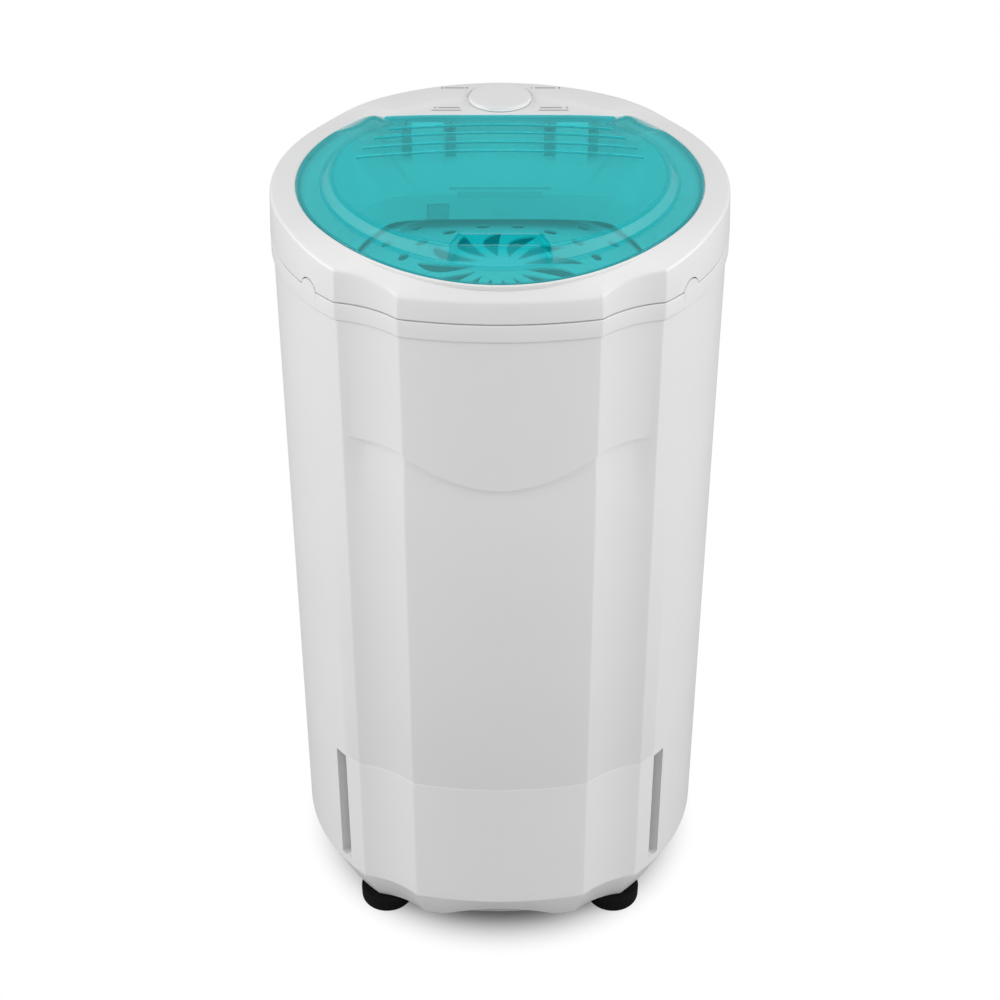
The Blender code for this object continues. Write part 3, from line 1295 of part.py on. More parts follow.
def make_basket(spin):
    """Perforated steel basket with a drawn-in neck, a moulded rim, a hub and its nut."""
    inner, wall = BASKET_RADIUS - BASKET_WALL, BASKET_WALL
    bottom = BASKET_BOTTOM
    neck_bottom = BASKET_RIM_TOP - BASKET_RIM_HEIGHT - GAP
    hub_bore = HUB_RADIUS * HUB_BORE_SHARE
    profile = [
        (NECK_RADIUS + BASKET_RIM_WIDTH, neck_bottom),
        (BASKET_RADIUS, neck_bottom - BASKET_SHOULDER),
        (BASKET_RADIUS, bottom + BASKET_SHOULDER / 2),
        (BASKET_RADIUS - BASKET_SHOULDER / 2, bottom),
        (hub_bore, bottom),
        (hub_bore, bottom + wall),
        (inner - BASKET_SHOULDER / 2, bottom + wall),
        (inner, bottom + BASKET_SHOULDER / 2 + wall / 2),
        (inner, neck_bottom - BASKET_SHOULDER - wall / 2),
        (NECK_RADIUS + wall, neck_bottom - wall),
        (NECK_RADIUS + wall, neck_bottom),
    ]
    basket = turned("basket", profile, BASKET_SIDES, STAINLESS, spin)
    boolean(basket, add_cutter("basket_holes", hole_grid_bm(), spin))
    rim_bottom = BASKET_RIM_TOP - BASKET_RIM_HEIGHT
    rim = [
        (NECK_RADIUS + BASKET_RIM_WIDTH - WALL / 2, BASKET_RIM_TOP),
        (NECK_RADIUS + BASKET_RIM_WIDTH, BASKET_RIM_TOP - WALL / 2),
        (NECK_RADIUS + BASKET_RIM_WIDTH, rim_bottom),
        (NECK_RADIUS, rim_bottom),
        (NECK_RADIUS, BASKET_RIM_TOP - WALL / 2),
        (NECK_RADIUS + WALL / 2, BASKET_RIM_TOP),
    ]
    turned("basket_rim", rim, BASKET_SIDES, WHITE, spin)
    bore = SHAFT_RADIUS + PIN_CLEARANCE
    top = bottom + HUB_HEIGHT
    foot = bottom + wall + GAP
    hub = [
        (NUT_RADIUS + WALL, top),
        (HUB_RADIUS, top - HUB_HEIGHT / 2),
        (HUB_RADIUS * HUB_FLANGE_SHARE, foot + WALL),
        (HUB_RADIUS * HUB_FLANGE_SHARE, foot),
        (hub_bore - GAP, foot),
        (hub_bore - GAP, bottom - WALL),
        (bore, bottom - WALL),
        (bore, top),
    ]
    turned("basket_hub", hub, BORE_SIDES, CAST_ALUMINIUM, spin)
    nut_bore = bore / math.cos(math.pi / NUT_SIDES)
    profile = ring_profile(nut_bore, NUT_RADIUS, top + GAP, top + GAP + NUT_HEIGHT)
    nut = turned("hub_nut", profile, NUT_SIDES, STEEL, spin)
    nut.rotation_euler = (0.0, 0.0, math.pi / NUT_SIDES)


def oval_points(length, width, count):
    return [
        (length / 2 * math.cos(math.tau * i / count), width / 2 * math.sin(math.tau * i / count))
        for i in range(count)
    ]


def slots_bm():
    """Petal slots round the middle of the press disc, and ovals outside them."""
    bm = bmesh.new()
    low, high = DISC_TOP - DISC_THICKNESS - OVERRUN, DISC_TOP + OVERRUN
    middle = (PETAL_INNER + PETAL_OUTER) / 2
    shapes = [
        (middle, 0.0, oval_points(PETAL_OUTER - PETAL_INNER, PETAL_WIDTH, PETAL_SIDES)),
        (OVAL_CIRCLE, 0.5, oval_points(OVAL_LENGTH, OVAL_WIDTH, OVAL_SIDES)),
    ]
    for distance, offset, outline in shapes:
        for i in range(PETAL_COUNT):
            turn = Matrix.Rotation(math.tau * (i + offset) / PETAL_COUNT, 4, "Z")
            rows = []
            for height in (low, high):
                rows.append([bm.verts.new(turn @ Vector((distance + u, v, height))) for u, v in outline])
            bm.faces.new(rows[0][::-1])
            bm.faces.new(rows[1])
            for j in range(len(outline)):
                k = (j + 1) % len(outline)
                bm.faces.new((rows[0][j], rows[0][k], rows[1][k], rows[1][j]))
    return bm


def make_press_disc(disc_axis):
    outer = NECK_RADIUS - DISC_CLEARANCE
    profile = [
        (0.0, DISC_TOP),
        (outer - WALL / 2, DISC_TOP),
        (outer, DISC_TOP - WALL / 2),
        (outer, DISC_TOP - DISC_SKIRT),
        (outer - WALL, DISC_TOP - DISC_SKIRT),
        (outer - WALL, DISC_TOP - DISC_THICKNESS),
        (0.0, DISC_TOP - DISC_THICKNESS),
    ]
    disc = turned("press_disc", profile, DISC_SIDES, DISC_WHITE, disc_axis)
    boolean(disc, add_cutter("disc_slots", slots_bm(), disc_axis))


# Service parts


def make_capacitor(root):
    profile = [
        (0.0, LOWER_CUP_BOTTOM + CAPACITOR_HEIGHT),
        (CAPACITOR_RADIUS - EDGE_ROUND, LOWER_CUP_BOTTOM + CAPACITOR_HEIGHT),
        (CAPACITOR_RADIUS, LOWER_CUP_BOTTOM + CAPACITOR_HEIGHT - EDGE_ROUND),
        (CAPACITOR_RADIUS, LOWER_CUP_BOTTOM),
        (0.0, LOWER_CUP_BOTTOM),
    ]
    can = turned("capacitor", profile, BORE_SIDES, BLACK_PLASTIC, root)
    x, y = polar(CAPACITOR_DEG, CAPACITOR_CIRCLE)
    can.location = (x, y, 0.0)


def through_wall(name, degrees, profile, spec, root):
    """A round fitting along a radius through the cabinet's wall, with its own height pointing outwards."""
    made = turned(name, profile, BORE_SIDES, spec, root)
    outward = Vector((*polar(degrees, 1.0), 0.0))
    made.rotation_euler = outward.to_track_quat("Z", "Y").to_euler()
    made.location = (*polar(degrees, CABINET_RADIUS), FITTING_HEIGHT)


def tub_underside(radius):
    """Height of the tub floor's lower face at a distance from the axis."""
    share = (radius - TUB_NECK_RADIUS) / (TUB_RADIUS - TUB_NECK_RADIUS)
    return TUB_FLOOR + TUB_FLOOR_RISE * TUB_FLOOR_SLOPE_SHARE * share - WALL


def make_drain(root):
    """Ribbed spout through the wall, and the bent pipe that comes down to it from the tub's floor."""
    ring = SPOUT_RADIUS - SPOUT_BARB
    profile = [
        (SPOUT_RADIUS, SPOUT_OUTSIDE - SPOUT_BARB * 3),
        (ring, SPOUT_OUTSIDE - SPOUT_BARB * 3),
        (ring, SPOUT_OUTSIDE - SPOUT_BARB * SPOUT_BARBS_LENGTH_SHARE),
        (SPOUT_RADIUS, SPOUT_OUTSIDE - SPOUT_BARB * SPOUT_BARBS_LENGTH_SHARE),
        (SPOUT_RADIUS, -SPOUT_INSIDE),
        (SPOUT_BORE, -SPOUT_INSIDE),
        (SPOUT_BORE, SPOUT_OUTSIDE),
        (ring, SPOUT_OUTSIDE),
    ]
    through_wall("drain_spout", SPOUT_DEG, profile, GREY_PLASTIC, root)
    pipe_radius = SPOUT_RADIUS - SPOUT_BARB
    start = CABINET_RADIUS - SPOUT_INSIDE - GAP
    bend = start - PIPE_START
    points = [(*polar(SPOUT_DEG, start), FITTING_HEIGHT), (*polar(SPOUT_DEG, bend), FITTING_HEIGHT)]
    for step in range(1, PIPE_BEND_STEPS + 1):
        angle = math.pi / 2 * step / PIPE_BEND_STEPS
        place = polar(SPOUT_DEG, bend - PIPE_BEND * math.sin(angle))
        points.append((*place, FITTING_HEIGHT + PIPE_BEND * (1 - math.cos(angle))))
    top = tub_underside(bend - PIPE_BEND - pipe_radius) - GAP
    points.append((*polar(SPOUT_DEG, bend - PIPE_BEND), top))
    tube("drain_pipe", points, pipe_radius, GREY_PLASTIC, root, resolution=3)


def make_gland(root):
    profile = [
        (GLAND_RADIUS + GLAND_FLANGE, WALL + GAP * 2),
        (GLAND_RADIUS + GLAND_FLANGE, GAP * 2),
        (GLAND_RADIUS, GAP * 2),
        (GLAND_RADIUS, -WALL * 2),
        (GLAND_BORE, -WALL * 2),
        (GLAND_BORE, WALL + GAP * 2),
    ]
    through_wall("cord_gland", GLAND_DEG, profile, BLACK_RUBBER, root)


def main():
    clear_scene()
    root = add_empty("cabinet_frame", (0.0, FRAME_Y, 0.0))
    drive = add_empty("suspension_axis", (0.0, 0.0, 0.0), root)
    spin = add_empty("spin_axis", (0.0, 0.0, 0.0), drive)
    disc_axis = add_empty("press_disc_axis", (0.0, 0.0, 0.0), spin)
    lid_axis = add_empty("lid_axis", (0.0, HINGE_Y, HINGE_Z), root)
    timer_axis = add_empty("timer_axis", (0.0, TIMER_Y, 0.0), root)
    x, y = switch_place()
    plunger_axis = add_empty("plunger_axis", (x, y, 0.0), root)
    x, y = lever_pivot()
    lever_axis = add_empty("brake_lever_axis", (x, y, 0.0), drive)
    make_cabinet(root)
    make_base(root)
    make_feet(root)
    make_crown(root)
    make_lid(lid_axis)
    make_hinge_pins(root)
    make_timer(root, timer_axis)
    make_lid_switch(root, plunger_axis)
    make_springs(root, drive)
    make_motor_plate(drive)
    make_motor(drive)
    make_spin_group(spin)
    make_brake(drive, lever_axis)
    make_tub(root)
    make_basket(spin)
    make_press_disc(disc_axis)
    make_capacitor(root)
    make_drain(root)
    make_gland(root)


PARTS = new_collection("spin_dryer")
CUTTERS = new_collection("cutters")
main()
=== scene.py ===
"""Visual model of a compact spin dryer: fluted white cabinet, white crown, clear teal lid, timer knob."""

from dataclasses import dataclass
from enum import Enum
import json
import logging
import math
from typing import Optional, Sequence

import bmesh
import bpy
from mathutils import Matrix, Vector


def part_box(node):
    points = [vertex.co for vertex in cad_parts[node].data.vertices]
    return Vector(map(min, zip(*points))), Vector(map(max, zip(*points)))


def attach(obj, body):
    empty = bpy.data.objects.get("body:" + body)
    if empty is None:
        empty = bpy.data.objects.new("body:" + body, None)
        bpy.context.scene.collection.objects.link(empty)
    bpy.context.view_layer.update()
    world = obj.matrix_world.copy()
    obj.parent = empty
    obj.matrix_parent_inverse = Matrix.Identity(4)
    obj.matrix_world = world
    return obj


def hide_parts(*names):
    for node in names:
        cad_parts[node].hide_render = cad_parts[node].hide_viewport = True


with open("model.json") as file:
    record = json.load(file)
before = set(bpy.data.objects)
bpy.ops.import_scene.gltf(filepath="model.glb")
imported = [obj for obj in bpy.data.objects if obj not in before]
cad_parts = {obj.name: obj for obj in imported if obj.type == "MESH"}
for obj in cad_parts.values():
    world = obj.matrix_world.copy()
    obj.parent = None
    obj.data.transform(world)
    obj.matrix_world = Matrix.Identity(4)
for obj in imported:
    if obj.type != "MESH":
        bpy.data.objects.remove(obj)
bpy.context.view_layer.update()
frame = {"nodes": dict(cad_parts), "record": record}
LOG = logging.getLogger("spin_dryer")

Column = list[tuple[Vector, float]]
Point = Sequence[float]

CURVE_STEPS = 4  # pieces of each rounded corner
ANGLE_GAP_DEG = 0.6  # an ordinary column keeps this far from a special one
TAB_DEG = 52.5  # the collar's tabs and the crown's notches, from the front
NOTCH_STEPS = (-1.4, -0.7, 0.0, 0.9, 1.5, 2.3, 3.2, 4.2, 5.2)  # columns round the opening's rear corners
# CAD nodes inside the basket, which get a dark grey of painted shade
INSIDE_NODES = ("basket", "basket_hub")


class Body(Enum):
    """The moving bodies that pieces ride on."""

    CABINET = "cabinet"
    DISC = "press_disc"
    LID = "lid"
    TIMER = "timer"


class Slot(Enum):
    """The record's material slots."""

    WHITE = "white_plastic"
    TEAL = "teal_plastic"
    DISC = "white_disc_plastic"
    RUBBER = "black_rubber"
    GREY = "grey_plastic"
    BLACK = "black_plastic"
    STEEL = "steel"
    STAINLESS = "stainless_steel"
    CAST = "cast_aluminium"
    PAINTED = "painted_steel"


@dataclass
class NodeTree:
    """A node tree under construction."""

    tree: bpy.types.NodeTree

    def feed(self, node: bpy.types.Node, inputs: dict) -> bpy.types.Node:
        """Fills a node's inputs.

        Args:
            node: The node.
            inputs: For an input's name or number, the socket to link or the value to set.

        Returns:
            The node.
        """
        for key, value in inputs.items():
            if isinstance(value, bpy.types.NodeSocket):
                self.tree.links.new(value, node.inputs[key])
            else:
                node.inputs[key].default_value = value
        return node

    def add(self, kind: str, inputs: Optional[dict] = None, **options: object) -> bpy.types.Node:
        """Adds a node.

        Args:
            kind: The node's type.
            inputs: What its inputs get, as in feed.
            options: The node's own settings.

        Returns:
            The node.
        """
        node = self.tree.nodes.new(kind)
        for name, value in options.items():
            setattr(node, name, value)
        return self.feed(node, inputs or {})


class MadeOnce:
    """A finish whose material is made once, and found by its name after that."""

    name: str

    def build(self) -> bpy.types.Material:
        """Makes the material, or finds it.

        Returns:
            The material.
        """
        made = bpy.data.materials.get(self.name)
        if made is None:
            made = bpy.data.materials.new(self.name)
            made.use_nodes = True
            self.dress(NodeTree(made.node_tree))
        return made


@dataclass(frozen=True)
class Finish(MadeOnce):
    """A moulded, rubber or metal finish with grain, slight colour variation and uneven gloss."""

    name: str
    colour: tuple[float, float, float]
    roughness: float
    metallic: float = 0.0
    grain_scale: float = 900.0
    grain_depth: float = 0.00004
    cloud_scale: float = 14.0
    variation: float = 0.015
    gloss_variation: float = 0.06
    specular: float = 0.5
    stretch: tuple[float, float, float] = (1.0, 1.0, 1.0)

    def dress(self, nodes: NodeTree) -> None:
        """Lays slow clouds of tone and gloss and a fine grain on the material.

        Args:
            nodes: The new material's tree.
        """
        place = nodes.add("ShaderNodeTexCoord").outputs["Object"]
        spread = nodes.add("ShaderNodeMapping", {"Vector": place, "Scale": self.stretch}).outputs["Vector"]
        slow = {"Vector": spread, "Scale": self.cloud_scale, "Detail": 4.0}
        fine = {"Vector": spread, "Scale": self.grain_scale, "Detail": 2.0}
        cloud = nodes.add("ShaderNodeTexNoise", slow).outputs["Fac"]
        grain = nodes.add("ShaderNodeTexNoise", fine).outputs["Fac"]
        levels = []
        for middle, change in ((1.0, self.variation), (self.roughness, self.gloss_variation)):
            span = {"Value": cloud, "To Min": max(middle - change, 0.02), "To Max": middle + change}
            levels.append(nodes.add("ShaderNodeMapRange", span).outputs["Result"])
        paint = nodes.add("ShaderNodeVectorMath", {0: self.colour, "Scale": levels[0]}, operation="SCALE")
        bump = nodes.add("ShaderNodeBump", {"Height": grain, "Strength": 0.5, "Distance": self.grain_depth})
        nodes.feed(nodes.tree.nodes["Principled BSDF"], {
            "Base Color": paint.outputs["Vector"],
            "Roughness": levels[1],
            "Metallic": self.metallic,
            "Specular IOR Level": self.specular,
            "Normal": bump.outputs["Normal"],
        })


@dataclass(frozen=True)
class ClearFinish(MadeOnce):
    """A tinted see-through plastic: part coloured film, part glossy body colour."""

    name: str
    film: tuple[float, float, float]
    body: tuple[float, float, float]
    body_share: float
    roughness: float
    gloss_ior: float = 1.9
    coat: float = 1.0

    def dress(self, nodes: NodeTree) -> None:
        """Mixes the film and the body colour under a glossy coat.

        Args:
            nodes: The new material's tree.
        """
        shader = nodes.feed(nodes.tree.nodes["Principled BSDF"], {
            "Base Color": (*self.body, 1.0),
            "Roughness": self.roughness,
            "IOR": self.gloss_ior,
            "Coat Weight": self.coat,
            "Coat Roughness": 0.02,
        })
        film = nodes.add("ShaderNodeBsdfTransparent", {"Color": (*self.film, 1.0)})
        parts = {"Fac": self.body_share, 1: film.outputs["BSDF"], 2: shader.outputs["BSDF"]}
        blend = nodes.add("ShaderNodeMixShader", parts)
        nodes.feed(nodes.tree.nodes["Material Output"], {"Surface": blend.outputs["Shader"]})


WHITE = Finish("moulded_white", (0.80, 0.80, 0.80), 0.36, grain_depth=0.00002)
# painted shade: grey for the plate at the back of the crown's square recess
PAINTED_RECESS_SHADE = Finish("shaded_white", (0.58, 0.58, 0.58), 0.4)
# painted shade: darker grey on the insides of the cabinet's side slots
PAINTED_SLOT_SHADE = Finish("slot_shade", (0.60, 0.60, 0.60), 0.5)
# the disc plastic's own white, lifted above the cabinet white as painted fill light; the hinge bosses get it
# too
DISC_WHITE_FILL_LIT = Finish("disc_white_fill_lit", (0.93, 0.94, 0.94), 0.42)
# painted fill light: a brighter copy of the white for the crown's mouth wall
MOUTH_FILL_LIGHT = Finish("mouth_fill_light_white", (0.86, 0.87, 0.87), 0.50)
# painted shade: dark grey for the inside of the basket, seen through the disc's slots
BASKET_PAINTED_SHADE = Finish("basket_painted_shade", (0.17, 0.18, 0.18), 0.50)
INK = Finish("label_ink", (0.10, 0.10, 0.10), 0.55, grain_depth=0.000005)
RUBBER = Finish(
    "foot_rubber", (0.005, 0.005, 0.005), 0.70, grain_scale=500.0, grain_depth=0.00015, specular=0.10
)
GREY = Finish("grey_moulding", (0.42, 0.43, 0.44), 0.5)
BLACK = Finish("black_moulding", (0.025, 0.025, 0.025), 0.45)
STEEL = Finish("turned_steel", (0.60, 0.60, 0.60), 0.28, metallic=1.0, stretch=(1.0, 1.0, 12.0))
STAINLESS = Finish("drawn_stainless", (0.68, 0.68, 0.67), 0.24, metallic=1.0, stretch=(1.0, 1.0, 20.0))
CAST = Finish("cast_alloy", (0.62, 0.63, 0.64), 0.48, metallic=1.0, grain_scale=300.0, grain_depth=0.0002)
PAINTED = Finish("dark_paint", (0.13, 0.14, 0.15), 0.40)
TEAL = ClearFinish("clear_teal", (0.46, 0.95, 0.96), (0.04, 0.72, 0.74), 0.19, 0.26, 2.0)
# painted shade: darker, more saturated teal along the lid's edge and the ribs' front feet
TEAL_EDGE_SHADE = ClearFinish("teal_edge_shade", (0.10, 0.78, 0.81), (0.0, 0.60, 0.63), 0.38, 0.12)
# painted shade: darker teal lines where the dome and the pocket bend
TEAL_BEND_SHADE = ClearFinish("teal_bend_shade", (0.06, 0.84, 0.87), (0.0, 0.64, 0.67), 0.34, 0.14)
# painted reflection: a hazed teal for the white surround seen in the dome's sloping side
TEAL_PAINTED_REFLECTION = ClearFinish("teal_painted_reflection", (0.50, 0.94, 0.95), (0.09, 0.64, 0.66), 0.38, 0.36, 2.1)
TEAL_CLEAR = ClearFinish("teal_window", (0.30, 0.93, 0.95), (0.0, 0.72, 0.77), 0.19, 0.10, 1.45, 0.0)
TEAL_FLANGE = ClearFinish("teal_flange", (0.50, 0.95, 0.96), (0.09, 0.72, 0.74), 0.23, 0.28, 2.1)
TEAL_FLOOR = ClearFinish("teal_pocket", (0.45, 0.95, 0.97), (0.04, 0.76, 0.80), 0.34, 0.30, 1.9)
# painted highlight: a lighter, more saturated teal for the ribs' lit tops
TEAL_RIB_HIGHLIGHT = ClearFinish("teal_rib_highlight", (0.52, 0.98, 0.99), (0.0, 0.88, 0.91), 0.26, 0.10)
# partly the arms' own teal, greyed as painted shade of the gaps beside the bosses
TEAL_ARM_SHADE = ClearFinish("teal_arm_shade", (0.82, 0.92, 0.92), (0.30, 0.50, 0.50), 0.26, 0.25)

LID_FINISHES = (TEAL, TEAL_EDGE_SHADE, TEAL_BEND_SHADE, TEAL_PAINTED_REFLECTION, TEAL_CLEAR, TEAL_FLANGE, TEAL_FLOOR)
NODE_FINISH = {
    Slot.WHITE: WHITE,
    Slot.TEAL: TEAL,
    Slot.DISC: DISC_WHITE_FILL_LIT,
    Slot.RUBBER: RUBBER,
    Slot.GREY: GREY,
    Slot.BLACK: BLACK,
    Slot.STEEL: STEEL,
    Slot.STAINLESS: STAINLESS,
    Slot.CAST: CAST,
    Slot.PAINTED: PAINTED,
}


class LidFace(Enum):
    """The finishes on the lid's faces, by their places in LID_FINISHES."""

    TOP = 0
    # the edge and bend bands carry painted shade, the band on the dome's sloping side a painted reflection
    EDGE = 1
    BEND = 2
    PAINTED_REFLECTION = 3
    CLEAR = 4
    FLANGE = 5
    FLOOR = 6


Bands = tuple[tuple[int, LidFace], ...]


def polar(degrees: float, radius: float) -> Vector:
    """A plan point at an angle from the front, which faces -Y."""
    angle = math.radians(degrees)
    return Vector((radius * math.sin(angle), -radius * math.cos(angle)))


def from_front(point: Vector) -> float:
    """Angle of a plan point from the front, in degrees, alike on both sides."""
    return math.degrees(math.atan2(abs(point.x), -point.y))


def from_back(point: Vector) -> float:
    """Angle of a plan point from the back, in degrees, alike on both sides."""
    return math.degrees(math.atan2(abs(point.x), point.y))


def at_height(spot: Vector, height: float) -> Vector:
    """A plan point lifted to a height."""
    return Vector((spot.x, spot.y, height))


def spin(point: Vector, angle: float) -> Vector:
    """A plan point turned about the axis by an angle in radians."""
    cosine, sine = math.cos(angle), math.sin(angle)
    return Vector((point.x * cosine - point.y * sine, point.x * sine + point.y * cosine))


def mix(start: float, end: float, share: float) -> float:
    """Value that lies the given share of the way from start to end."""
    return start + (end - start) * share


def ease(value: float, start: float, end: float) -> float:
    """Smooth step of value from 0 at start to 1 at end."""
    share = min(max((value - start) / (end - start), 0.0), 1.0)
    return share * share * (3 - 2 * share)


def bow(start: Vector, corner: Vector, end: Vector, share: float) -> Vector:
    """Point of the curve that runs from start to end and leans towards a corner."""
    return start.lerp(corner, share).lerp(corner.lerp(end, share), share)


def clear_of(degrees: Sequence[float], special: Sequence[float]) -> list[float]:
    """Those angles that keep clear of all special ones."""
    return [d for d in degrees if all(abs(d - s) > ANGLE_GAP_DEG for s in special)]


def rounded(controls: Column) -> list[Vector]:
    """Turns a line of corners into points, with each corner that has a reach drawn as a short curve.

    Args:
        controls: Corners with the length that each one's curve takes on both sides.

    Returns:
        The points; every inner corner with a reach above zero gives CURVE_STEPS + 1 of them.
    """
    points: list[Vector] = []
    for index, (corner, reach) in enumerate(controls):
        if reach <= 0 or index in (0, len(controls) - 1):
            points.append(corner)
            continue
        before = controls[index - 1][0] - corner
        after = controls[index + 1][0] - corner
        start = corner + before * min(reach / max(before.length, 1e-9), 0.48)
        end = corner + after * min(reach / max(after.length, 1e-9), 0.48)
        points += [bow(start, corner, end, step / CURVE_STEPS) for step in range(CURVE_STEPS + 1)]
    return points


def grid_mesh(columns: Sequence[Sequence[Vector]], pole: bool = False) -> bmesh.types.BMesh:
    """Joins columns of points into a surface round the axis, from the front over +X.

    Args:
        columns: Columns with one count of points each.
        pole: Whether the columns' last points close on one middle point.

    Returns:
        The surface, whose faces look outwards where columns run upwards.
    """
    bm = bmesh.new()
    rows = [[bm.verts.new(point) for point in column] for column in columns]
    count = len(rows)
    for index in range(count):
        here, there = rows[index], rows[(index + 1) % count]
        for low in range(len(here) - 1):
            bm.faces.new((here[low], there[low], there[low + 1], here[low + 1]))
    if pole:
        middle = sum((row[-1].co for row in rows), Vector()) / count
        hub = bm.verts.new(middle)
        for index in range(count):
            bm.faces.new((rows[index][-1], rows[(index + 1) % count][-1], hub))
    return bm


def turned(profile: Sequence[Point], steps: int) -> bmesh.types.BMesh:
    """Turns a profile round the upright axis.

    Args:
        profile: Radius, height and curve reach of each corner, with the last one on the axis.
        steps: Pieces round the axis.

    Returns:
        The surface. It closes on its last point only where the ring before lies at the same height.
    """
    line = rounded([(Vector((radius, 0.0, height)), reach) for radius, height, reach in profile])
    top = line.pop()
    columns = []
    for step in range(steps):
        angle = math.tau * step / steps
        columns.append([Vector((p.x * math.sin(angle), -p.x * math.cos(angle), p.z)) for p in line])
    bm = grid_mesh(columns)
    bm.verts.ensure_lookup_table()
    ends = [bm.verts[len(line) * (index + 1) - 1] for index in range(steps)]
    hub = bm.verts.new(top)
    if line[-1].z == top.z:
        for index, vert in enumerate(ends):
            bm.faces.new((vert, ends[(index + 1) % steps], hub))
    bmesh.ops.recalc_face_normals(bm, faces=bm.faces)
    return bm


def add_block(bm: bmesh.types.BMesh, low: Point, high: Point) -> None:
    """Adds a block to a mesh.

    Args:
        bm: The mesh.
        low: The block's lowest corner.
        high: Its highest corner.
    """
    made = bmesh.ops.create_cube(bm, size=1.0)["verts"]
    size = Vector(high) - Vector(low)
    bmesh.ops.scale(bm, vec=size, verts=made)
    bmesh.ops.translate(bm, vec=Vector(low) + size / 2, verts=made)


def add_prism(bm: bmesh.types.BMesh, first: Sequence[Point], second: Sequence[Point]) -> None:
    """Adds a prism to a mesh.

    Args:
        bm: The mesh.
        first: Outline of one end.
        second: Outline of the other end, with as many points.
    """
    near, far = ([bm.verts.new(point) for point in outline] for outline in (first, second))
    for index in range(len(near)):
        after = (index + 1) % len(near)
        bm.faces.new((near[index], near[after], far[after], far[index]))
    bm.faces.new(near)
    bm.faces.new(far)


def add_stud(
    bm: bmesh.types.BMesh, degrees: float, spot: Point, radius: float, depth: float, steps: int = 48
) -> None:
    """Adds a round stud that points outwards.

    Args:
        bm: The mesh that gets it.
        degrees: Its angle from the front.
        spot: Distance from the axis and height of its middle.
        radius: Its radius.
        depth: Its length.
        steps: Pieces round it.
    """
    out = polar(degrees, 1.0).to_3d()
    turn = out.to_track_quat("Z", "Y").to_matrix().to_4x4()
    turn.translation = out * spot[0] + Vector((0.0, 0.0, spot[1]))
    bmesh.ops.create_cone(
        bm, cap_ends=True, segments=steps, radius1=radius, radius2=radius, depth=depth, matrix=turn
    )


def mesh_object(name: str, bm: bmesh.types.BMesh) -> bpy.types.Object:
    """Makes an object of a mesh under construction.

    Args:
        name: The object's name.
        bm: The mesh, which ends here.

    Returns:
        The object, in the scene.
    """
    mesh = bpy.data.meshes.new(name)
    bm.to_mesh(mesh)
    bm.free()
    made = bpy.data.objects.new(name, mesh)
    bpy.context.scene.collection.objects.link(made)
    return made


def plain_mesh(made: bpy.types.Object) -> bpy.types.Mesh:
    """Makes the mesh that an object shows, with its modifiers applied.

    Args:
        made: The object.

    Returns:
        The new mesh.
    """
    graph = bpy.context.evaluated_depsgraph_get()
    graph.update()
    return bpy.data.meshes.new_from_object(made.evaluated_get(graph), depsgraph=graph)


def bake(made: bpy.types.Object) -> None:
    """Applies an object's modifiers to its mesh.

    Args:
        made: The object.
    """
    mesh = plain_mesh(made)
    made.modifiers.clear()
    made.data = mesh


def smooth(made: bpy.types.Object, degrees: float) -> None:
    """Shades an object smooth, with edges above an angle left sharp."""
    made.data.shade_smooth()
    made.data.set_sharp_from_angle(angle=math.radians(degrees))


def thicken(made: bpy.types.Object, wall: float) -> None:
    """Gives a surface its wall, on the side away from its faces' fronts.

    Args:
        made: The object.
        wall: The wall's thickness.
    """
    step = made.modifiers.new("wall", "SOLIDIFY")
    step.thickness = wall
    step.offset = -1.0
    step.use_even_offset = True
    bake(made)


def cut(made: bpy.types.Object, tool: bpy.types.Object) -> None:
    """Cuts a tool's shape from an object and removes the tool.

    Args:
        made: The object.
        tool: The object whose shape is cut away.
    """
    step = made.modifiers.new("cut", "BOOLEAN")
    step.operation = "DIFFERENCE"
    step.solver = "MANIFOLD"
    step.object = tool
    bake(made)
    bpy.data.objects.remove(tool, do_unlink=True)


@dataclass
class Piece:
    """A mesh on its way to becoming a piece of the model, made round the spin axis."""

    name: str
    bm: bmesh.types.BMesh
    axis_y: float
    finishes: Sequence[MadeOnce]
    smooth_deg: float = 30.0
    wall: float = 0.0
    cutters: Sequence[tuple[str, bmesh.types.BMesh]] = ()

    def build(self) -> bpy.types.Object:
        """Makes the object, with its place in its mesh, its wall made real and its openings cut.

        Returns:
            The object.
        """
        bmesh.ops.translate(self.bm, vec=(0.0, self.axis_y, 0.0), verts=self.bm.verts)
        made = mesh_object(self.name, self.bm)
        for finish in self.finishes:
            made.data.materials.append(finish.build())
        smooth(made, self.smooth_deg)
        if self.wall:
            thicken(made, self.wall)
        for name, cutter in self.cutters:
            cut(made, Piece(name, cutter, self.axis_y, self.finishes[:1]).build())
        if self.wall or self.cutters:
            smooth(made, self.smooth_deg)
        return made


def place(made: bpy.types.Object, body: Body, slot: Slot, *nodes: str) -> None:
    """Hands a finished piece to the frame.

    Args:
        made: The piece.
        body: The CAD body that it moves with.
        slot: The material slot that its finish belongs to; not used.
        nodes: CAD nodes that it stands for.
    """
    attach(made, body.value)
    if nodes:
        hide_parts(*nodes)
    LOG.info("%s: %d faces on %s", made.name, len(made.data.polygons), body.value)


def dress_nodes() -> None:
    """Gives every CAD node the finish of its material slot, or, inside the basket, a dark grey of painted
    shade.
    """
    slots = {part["node"]: part["material_slot"] for part in frame["record"]["subparts"]}
    for name, node in frame["nodes"].items():
        finish = BASKET_PAINTED_SHADE if name in INSIDE_NODES else NODE_FINISH[Slot(slots[name])]
        node.data.materials.clear()
        node.data.materials.append(finish.build())


